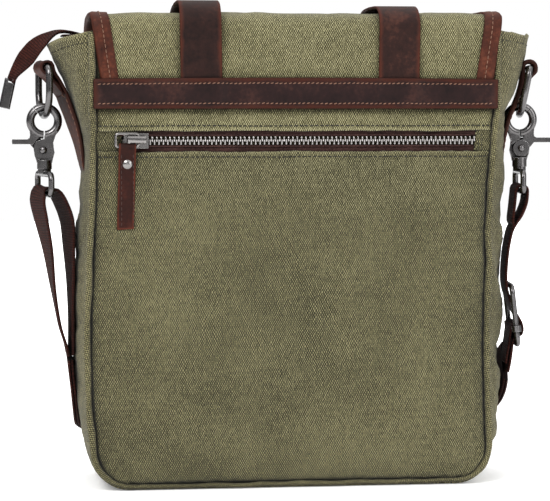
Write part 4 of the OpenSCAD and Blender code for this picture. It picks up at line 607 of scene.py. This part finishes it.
# closure straps, over the band and down the front
runs_a, runs_b = [], []
for s_, nm in ((-1, "left"), (1, "right")):
    cx = s_*65 + (2.3 if s_ < 0 else 3.3); hi = 1.1 if s_ < 0 else -2.2
    PA = spl([(-43.2, 254.5), (-43.3, 272), (-43.5, 298), (-43.6, 303.5), (-42.6, 310.5 + hi*.6), (-38, 316.8 + hi), (-30.5, 320.0 + hi), (-20, 320.9 + hi), (-6, 320.8 + hi*0.9), (5, 320.4 + hi*0.7)], 5)
    PA = resample(PA, 2.0); C = np.column_stack([0*PA[:, 0] + cx + (0.6*s_)*smooth((PA[:, 1] - 260)/60), PA[:, 0], PA[:, 1]])
    C[:, 2] += 0
    o = sweep("closure_strap_rear_" + nm, C, (1, 0, 0), lens(27.4, 2.1, 11), side=1, blend=FA, slot="leather", replaces=(["closure_straps_rear", "closure_straps_top"] if s_ < 0 else []), mats=[LEATHER])
    PB = spl([(4, 320.4 + hi*0.7), (20, 319.6 + hi*0.5), (34, 317.2), (45, 313.2), (53.5, 306.5), (57.4, 297), (57.5, 270), (57.5, 200), (57.5, 140), (57.5, 113), (60.2, 98), (63.1, 85), (63.3, 76.5), (60.6, 66.5), (60.1, 59), (60.1, 51.8)], 6)
    PB = resample(PB, 2.0); n = len(PB); C = np.column_stack([0*PB[:, 0] + cx + (0.6*s_), PB[:, 0], PB[:, 1]]); C[:, 0] = np.interp(C[:, 2], [110, 300], [s_*65 + 1.5, cx + 0.6*s_])
    tipk = np.clip((C[:, 2] - 51.8)/9, 0, 1); wsc = np.where(C[:, 2] < 61, 0.45 + 0.55*np.sqrt(np.clip(1 - (1 - tipk)**2, 0, 1)), 1.0)
    o = sweep("closure_strap_front_" + nm, C, (1, 0, 0), lens(26.4, 2.1, 11), side=1, scale=np.stack([wsc, 0*wsc + 1], 1), blend=FB, slot="leather", replaces=(["closure_straps_front"] if s_ < 0 else []), mats=[LEATHER])
    So = Surf(o)
    for k in (-10.6, 10.6):
        pts, nn = So.along([(C[0, 0] + k, 80, z) for z in np.linspace(290, 62, 120)], (0, -1, 0)); runs_b.append((pts, nn))
    V, F, b = [], [], 0   # punched holes, seen as dark sunk discs
    for z in (118, 130, 142):
        h = So.along([(C[0, 0] - 0.3, 80, z)], (0, -1, 0))[0][0]
        for rr, yy in ((1.9, 0.12), (1.5, 0.18), (1.35, -0.25), (0.1, -0.3)):
            V += [(h[0] + rr*math.cos(t), h[1] + yy, h[2] + rr*math.sin(t)) for t in np.linspace(0, 6.283, 14, endpoint=False)]
        for r_ in range(3):
            for j in range(14): F.append([b + r_*14 + j, b + r_*14 + (j+1) % 14, b + (r_+1)*14 + (j+1) % 14, b + (r_+1)*14 + j][::-1])
        b += 56
    make("strap_holes_" + nm, np.array(V), F, np.array(V)[:, [0, 2]], edge=np.tile(np.repeat([0.2, 0.2, 0, 0], 14), 3), body="flap_face", slot="leather", mats=[LEATHER])
    # chape with its turn round the buckle's heel bar, and the fixed keeper
    hy, hz = 58.6, 77.0; a = np.linspace(-1.9, 2.2, 9)
    CH = [(54.6, 38), (54.5, 50), (54.5, 66), (55.2, 72)] + [(hy - 2.35*math.cos(t), hz + 2.35*math.sin(t)) for t in np.linspace(-0.2, 3.5, 9)] + [(59.2, 73), (57.0, 69), (56.7, 60), (56.7, 42)]
    CH = resample(spl(CH, 3), 1.6); Cc = np.column_stack([0*CH[:, 0] + s_*65 + 1.5, CH])
    sweep("buckle_chape_" + nm, Cc, (1, 0, 0), lens(23.6, 1.5, 9), side=1, body="bag", slot="leather", replaces=(["buckle_chapes"] if s_ < 0 else []), mats=[LEATHER])
    kx, ky = 15.3, 5.1; K = [(kx, -ky + 1.6), (kx, ky - 1.6), (kx - 1.6, ky), (-kx + 1.6, ky), (-kx, ky - 1.6), (-kx, -ky + 1.6), (-kx + 1.6, -ky), (kx - 1.6, -ky), (kx, -ky + 1.6)]
    K = resample(np.array(K, float), 1.3); Kc = np.column_stack([K[:, 0] + s_*65 + 1.5, 58.95 + K[:, 1], 64.5 + 0*K[:, 0]])
    sweep("buckle_keeper_" + nm, Kc, (0, 0, 1), lens(8.2, 1.4, 7), side=1, caps=False, body="bag", slot="leather", replaces=(["buckle_keepers"] if s_ < 0 else []), mats=[LEATHER])
stitches("closure_strap_stitches", runs_b, 4.2, 3.0, 0.32, body="flap_face", slot="leather", mats=[TAN])

# the stitched leather band across the back, over the straps
x = np.concatenate([[-133.9, -133.6, -132.8, -131], np.linspace(-128.5, 128.5, 150), [131, 132.8, 133.6, 133.9]]); a = np.array([-9.45, -9.2, -8.5, -7.4, -6.6, -6.2, -5.8, -4.6, -2, 0.5, 3, 5.0, 6.2, 6.6, 7.0, 7.8, 8.8, 9.4, 9.65])
X, B = np.meshgrid(x, a); over = sum(smooth((16.5 - np.abs(X - (s_*65 + (2.3 if s_ < 0 else 3.3))))/6) for s_ in (-1, 1))
ztop = 0.9*(1 - (X/133)**2); Zb = 261.1 + B + ztop*(B + 9.5)/19 - 0.003*X*0
prof = 0.45*(1 - (np.abs(B)/9.6)**8) - 0.28*np.exp(-((np.abs(B) - 6.3)/0.55)**2)
Yb = -(44.2 + 2.1*over + prof + 0.22*fbm(X, B, 101, 55, 2)) + 1.3*smooth((np.abs(X) - 130)/4)
edge = np.minimum(9.6 - np.abs(B), 134 - np.abs(X)); xx = wx(X, 0*X + 300)
band = grid("back_band_leather", np.stack([xx, Yb, Zb], 2), 1.4, uv=np.stack([X, B], 2), edge=edge, body="bag", slot="leather", replaces=["back_band"], mats=[LEATHER_BAND])
Sd = Surf(band); xs = np.linspace(-131, 131.5, 170)
rows = [Sd.along([(x, -70, 261.1 + k + 0.9*(1 - (x/133)**2)*(k + 9.5)/19 + 0.12*math.sin(x*0.2)) for x in xs], (0, 1, 0)) for k in (-6.3, 6.3)]
stitches("band_stitches", rows, 3.0, 2.2, 0.40, lift=0.03, slant=0.34, body="bag", slot="leather", mats=[TAN])

# leather tabs that carry the rings
def tab_path(T, x, r, back):
    ring = [(x + r*math.cos(t), 278.5 + r*math.sin(t)) for t in np.linspace(math.radians(150), math.radians(-60), 12)]
    return list(T) + ring + [(x + p, z) for p, z in back]
for s_, nm, T, x, r_, th, back in ((-1, "left", [(134.6, 203), (137.2, 209), (139.0, 217), (140.8, 227), (143.1, 236), (146.0, 245), (149.0, 253), (152.4, 262), (156.0, 269.4), (159.4, 275.4)], 163.7, 3.7, 2.1, [(-2.6, 271.3), (-7.2, 266.0), (-10.6, 259.6)]),
        (1, "right", [(144.4, 209), (147.0, 221), (148.8, 232), (151.2, 242), (154.2, 250), (157.2, 257), (159.6, 264), (161.0, 270), (161.5, 275)], 166.0, 4.6, 3.0, [(-1.2, 270.4), (-3.2, 265.2), (-5.8, 259.6)])):
    Q = np.array(tab_path(T, x, r_, back)); Q = resample(spl(Q, 4), 1.5); C = np.column_stack([s_*Q[:, 0], 0*Q[:, 0], Q[:, 1]]); zq = np.where(arc(Q) > 82, 280, Q[:, 1])
    ang = np.interp(zq, [203, 214, 226, 240, 256, 268, 280], [2, 4, 9, 15, 17, 15, 12]) if s_ < 0 else np.full(len(Q), -11.0)
    W = np.stack([-np.sin(np.radians(ang)), np.cos(np.radians(ang)), 0*ang], 1)
    sk = 1 - 0.72*smooth((arc(Q) - arc(Q)[-1] + 6)/6)
    o = sweep("ring_tab_" + nm, C, W, lens(22.8, th, 11), side=1, scale=np.stack([0*sk + 1, sk], 1), body="bag", slot="leather", replaces=(["side_tabs"] if s_ < 0 else []), mats=[TAB])
    So = Surf(o); runs = []
    for k in (-8.6, 8.6):
        pts, nn = So.along([(s_*190, k, z) for z in np.linspace(212, 262, 30)], (-s_, 0, 0)); runs.append((pts, nn))
    stitches("ring_tab_stitches_" + nm, [r for r in runs if len(r[0]) > 3], 4.0, 2.8, 0.34, body="bag", slot="leather", mats=[TAN])

# ---------------------------------------------------------------- webbing
SL = ("sling_l", "bag", (-156, 0, 190), (-148, 0, 104)); SR = ("sling_r", "bag", (156, 0, 176), (152, 0, 84))
def box_cross(C, W, N, w, h):
    """the sewn box with a cross, as on strap ends"""
    c = [(-w/2, -h/2), (w/2, -h/2), (w/2, h/2), (-w/2, h/2), (-w/2, -h/2), (w/2, h/2)]; pts = []
    T = unit(np.cross(W, N)); P = [C + W*a + T*b for a, b in c] ; L = resample(np.array(P), 1.0); return (L, np.broadcast_to(N, L.shape)), (resample(np.array([C + W*w/2 - T*h/2, C - W*w/2 + T*h/2]), 1.0),)
bx, bz = -163.7, 194.7
LP = [(-146.6, 88), (-146.4, 106), (-146.6, 122), (-146.9, 140), (-147.7, 158), (-148.8, 176), (-153.0, 188.5), (-157.4, 196)] + [(bx - 4.0*math.cos(t), bz + 4.0*math.sin(t)) for t in np.linspace(2.5, 0.1, 7)] + [(-168.4, 189), (-166.0, 177), (-161.8, 157), (-158.5, 132), (-154.2, 107), (-150.6, 95), (-148.9, 87)]
Q = resample(spl(LP, 5), 2.2); C = np.column_stack([Q[:, 0], 0*Q[:, 0], Q[:, 1]])
tw = smooth((194 - C[:, 2])/84)[:, None]; kk = (np.arange(len(C)) > np.argmax(C[:, 2]))[:, None]*1.0; W = unit(A(-0.22, 0.975, 0))*(1 - tw) + (unit(A(-0.04, 1, 0))*(1 - kk) + unit(A(0.0, 1, 0))*kk)*tw
sc = np.stack([1 - 0.05*tw[:, 0], 1 + 0*tw[:, 0]], 1)
sl = sweep("webbing_left_loop", C, W, lens(36.4, 1.8, 13), side=1, scale=sc, blend=SL, slot="webbing", replaces=["strap_left"], mats=[WEB])
cb = (156.0, 102.3); hx_, bzr = 160.02, 195.26
RP = [(154.6, 172)] + [(154.0, 176), (154.9, 184)] + [(hx_ - 4.0*math.cos(t) , bzr + 4.0*math.sin(t)) for t in np.linspace(0.2, math.pi - 0.1, 8)] + [(163.4, 188), (160.4, 180), (156.6, 174), (153.4, 168), (150.9, 156), (149.6, 142), (149.7, 131.5), (151.6, 123.5), (155.3, 114.6), (159.8, 106.6), (161.0, 101.6), (159.7, 98.0), (156.8, 96.4), (154.6, 94.0), (153.9, 91), (153.4, 86), (152.2, 78), (150.9, 72)]
Q = resample(spl(RP, 5), 2.0); C = np.column_stack([Q[:, 0], 0*Q[:, 0], Q[:, 1]])
sweep("webbing_right_main", C, (0.12, 0.993, 0), lens(36.2, 1.7, 13), side=1, blend=SR, slot="webbing", replaces=["strap_right"], mats=[WEB])
EP = [(149.6, 78), (150.4, 84), (151.9, 92), (152.6, 98)] + [(cb[0] - 2.75*math.cos(t), cb[1] + 2.75*math.sin(t)) for t in np.linspace(0.1, math.pi + 0.3, 9)] + [(156.9, 98.6), (155.0, 95.9)]
Q = resample(spl(EP, 4), 1.4); sweep("webbing_right_end", np.column_stack([Q[:, 0], 0*Q[:, 0], Q[:, 1]]), (0.12, 0.993, 0), lens(36.0, 1.4, 13), side=1, body="sling_r", slot="webbing", mats=[WEB])
LW = spl([(151.8, 5, 78), (149.4, 16, 66.5), (147.2, 29, 58.5), (143.8, 43, 52), (133, 56.5, 43.8), (112, 67, 34.8), (75, 73.4, 25.6), (30, 75, 20.6), (-20, 75, 20.6), (-65, 74, 25.8), (-100, 69.5, 35), (-122, 60.5, 42.6), (-134.6, 52, 47.6), (-140.2, 42, 51), (-142.2, 30, 55), (-143.8, 18, 62), (-145.4, 8.5, 70), (-147.0, 2.6, 79), (-147.8, 0.5, 88)], 8)
LWW = spl([(0.12, 0.75, 0.6), (0, 0.75, 0.8), (0, 0.6, 0.9), (-0.05, 0.3, 1), (0, 0.1, 1), (0, 0, 1), (0, 0, 1), (0, 0, 1), (0, 0, 1), (0, 0, 1), (0, 0, 1), (0, 0.03, 1), (0, 0.12, 1), (0, 0.3, 1), (0, 0.42, 0.9), (0, 0.64, 0.76), (0, 0.82, 0.55), (0, 0.96, 0.26), (0, 1, 0.02)], 8)
sL = arc(LW); off = 0.5*fbm(sL, sL*0, 121, 90)
for d, nm in ((1.0, "outer"), (-1.0, "inner")):
    T = unit(np.gradient(LW, axis=0)); N = unit(np.cross(T, LWW)); C = LW + N*(d*1.0 + 0.25*off)[:, None]
    sweep("webbing_long_" + nm, C, LWW, lens(36.0 - 0.6*(d < 0), 1.75, 13), side=1, body="bag", slot="webbing", replaces=(["strap_lower"] if d > 0 else []), mats=[WEB])
# sewn crosses where the ends are folded back are not drawn: the loop below is empty
runs = []
So = Surf(sl)
for z in ():
    pass
# zip tail
TP = [(-136, 299.8), (-142, 301.6), (-148, 302.9), (-154, 302.8), (-159.5, 300.4), (-165, 296.6), (-170, 292), (-175, 285.6), (-180, 279.4), (-183.6, 274.4), (-185.9, 269.5)]
Q = resample(spl(TP, 5), 1.4); C = np.column_stack([Q[:, 0], 0*Q[:, 0], Q[:, 1]]); s = arc(C)
tk = np.radians(np.interp(s, [0, 12, 18.6, 24.7, 31.5, 38.3, 46.4, 54.2, 60.5, 66], [0, 2, 6, 18, 38, 52, 60, 46, 30, 24]))[:, None]; Tt = unit(np.gradient(C, axis=0)); Nn = unit(np.cross(Tt, A(0, 1, 0))); W = A(0, 1, 0)*np.cos(tk) - Nn*np.sin(tk)
cupv = lens(13.5, 1.5, 9, dome=0.9)
sweep("zip_tail_tape", C, W, cupv, side=1, scale=np.stack([1.0 - 0.25*smooth((s - 46)/18), 1 + 0.25*smooth((s - 8)/38)], 1), blend=("bag", "tail", (-153, 0, 300), (-170, 0, 298)), slot="tape", replaces=["zip_tail"], mats=[WEB])

# leather pull of the back zip, on its wire link
lx, ly, lz = -104.0, -43.7, 226.6
PP = [(ly + 1.35, 216.5), (ly + 1.5, 222)] + [(ly + 1.75*math.cos(t), lz + 1.75*math.sin(t)) for t in np.linspace(-0.2, math.pi + 0.2, 8)] + [(ly - 1.5, 221), (ly - 0.9, 214), (ly - 0.7, 200), (ly - 0.5, 186), (ly - 0.3, 172.9)]
Q = resample(spl(PP, 5), 1.2); C = np.column_stack([0*Q[:, 0] + lx - 7.5, Q]); C[:, 0] += 0.028*(222 - C[:, 2])*-1
def foot(V, s, prof):
    z = V[..., 2]; k = smooth((178 - z)/10); V[..., 2] += k*(-(V[..., 0] - (lx - 7.5))*-0.17); return V
o = sweep("back_pull_strip", C, (1, 0, 0), lens(11.2, 1.5, 9), side=1, shape=foot, body="back_pull", slot="leather", replaces=["back_pull_leather"], mats=[PULL])
So = Surf(o); runs = []
for k in (-3.9, 3.9):
    pts, nn = So.along([(lx - 7.5 + k, -80, z) for z in np.linspace(222, 172, 40)], (0, 1, 0)); runs.append((pts, nn))
stitches("back_pull_stitches", runs, 3.4, 2.3, 0.26, lift=0.0, body="back_pull", slot="leather", mats=[thread("thread_dark", (28, 16, 13), (66, 40, 32))])

# ---------------------------------------------------------------- CAD hardware: finishes and softened edges only
for n, o in NODES.items():
    if o.hide_render: continue
    o.data.materials.clear(); zipm = n.startswith(("back_zip", "back_pull", "top_zip"))
    o.data.materials.append(METAL_ZIP if zipm else METAL)
    w = o.modifiers.new("weld", "WELD"); w.merge_threshold = 2e-6
    b = o.modifiers.new("bevel", "BEVEL"); b.width = 0.00035 if zipm else 0.0006; b.segments = 2; b.limit_method = "ANGLE"; b.angle_limit = math.radians(35); b.use_clamp_overlap = True
    o.data.polygons.foreach_set("use_smooth", [True]*len(o.data.polygons))
    wn = o.modifiers.new("wn", "WEIGHTED_NORMAL"); wn.keep_sharp = False

# ---------------------------------------------------------------- stage, light, camera
def plain(name, col, em=0.0):
    s = M(name); n = s.noise(s.obj(), 3.0, 2, 0.5); c = s.mix(s.mul(n, 0.02), lin(col), lin([v*0.985 for v in col]))
    return s.set(Base_Color=c, Roughness=0.9, Specular_IOR_Level=0.1, Emission_Color=(1, 1, 1, 1), Emission_Strength=em)
rr = np.array([1, 250, 500, 800, 1200, 1800, 2600, 3600.0]); tt = np.linspace(0, 2*math.pi, 49)
P = np.stack(np.broadcast_arrays(rr[:, None]*np.cos(tt), rr[:, None]*np.sin(tt), 0*rr[:, None]), 2)
s = M("studio_paper"); o_ = s.obj(); dist = s.t.nodes.new("ShaderNodeVectorMath"); dist.operation = "LENGTH"; s.put(dist.inputs[0], o_); cam_ray = s.t.nodes.new("ShaderNodeLightPath").outputs["Is Camera Ray"]
n = s.noise(o_, 3.0, 2, 0.5); far = s.mul(s.remap(dist.outputs["Value"], 0.45, 1.1, 0.0, 1.0), cam_ray)
paper = s.set(Base_Color=s.mix(s.mul(n, 0.02), lin((250, 250, 250)), lin((246, 246, 246))), Roughness=0.9, Specular_IOR_Level=0.1, Emission_Color=(1, 1, 1, 1), Emission_Strength=s.add(0.18, far))
floor = grid("studio_floor", P, 0, flip=True, mats=[paper])
w = bpy.data.worlds.new("studio"); bpy.context.scene.world = w; w.use_nodes = True
nt = w.node_tree; bg = nt.nodes["Background"]; tc = nt.nodes.new("ShaderNodeTexCoord"); sp = nt.nodes.new("ShaderNodeSeparateXYZ"); nt.links.new(tc.outputs["Generated"], sp.inputs[0])
cr = nt.nodes.new("ShaderNodeValToRGB"); mr = nt.nodes.new("ShaderNodeMapRange"); mr.inputs[1].default_value = -1; nt.links.new(sp.outputs[2], mr.inputs[0]); nt.links.new(mr.outputs[0], cr.inputs[0])
el = cr.color_ramp.elements; el[0].position, el[0].color = 0.40, (.55, .55, .55, 1); el[1].position, el[1].color = 0.82, (1.25, 1.25, 1.25, 1); e = el.new(0.47); e.color = (.16, .16, .16, 1); e = el.new(0.62); e.color = (.22, .22, .23, 1)
lp = nt.nodes.new("ShaderNodeLightPath"); mx = nt.nodes.new("ShaderNodeMix"); mx.data_type = "RGBA"; nt.links.new(lp.outputs["Is Camera Ray"], mx.inputs[0]); nt.links.new(cr.outputs[0], mx.inputs[6]); mx.inputs[7].default_value = (1, 1, 1, 1); nt.links.new(mx.outputs[2], bg.inputs[0]); bg.inputs[1].default_value = 1.0
def area(name, loc, aim, size, power, col=(1, 1, 1)):
    l = bpy.data.lights.new(name, "AREA"); l.shape = "RECTANGLE"; l.size, l.size_y = size; l.energy = power; l.color = col
    o = bpy.data.objects.new(name, l); bpy.context.scene.collection.objects.link(o); o.location = loc
    o.rotation_mode = "QUATERNION"; o.rotation_quaternion = (Vector(aim) - Vector(loc)).to_track_quat("-Z", "Y")
area("key", (-0.9, -1.3, 1.35), (0, 0, 0.17), (0.9, 0.9), 24)
area("fill", (1.3, -1.2, 0.75), (0, 0, 0.16), (0.8, 1.2), 13)
area("top", (0.1, 0.3, 1.9), (0, 0, 0.2), (1.2, 1.0), 9)
yaw, elev, D = math.radians(-7.5), math.radians(3.5), 1.6
back_ = Vector((math.sin(yaw)*math.cos(elev), -math.cos(yaw)*math.cos(elev), math.sin(elev)))
cd = bpy.data.cameras.new("cam"); cam = bpy.data.objects.new("cam", cd); bpy.context.scene.collection.objects.link(cam)
cam.location = Vector((-0.0139, -0.04, 0.158)) + back_*D; cam.rotation_mode = "QUATERNION"; cam.rotation_quaternion = (-back_).to_track_quat("-Z", "Y")
cd.sensor_width = 36; cd.lens = 36*D/0.363; cd.clip_end = 20
bpy.context.scene.camera = cam
bpy.context.scene.view_settings.view_transform = "Standard"
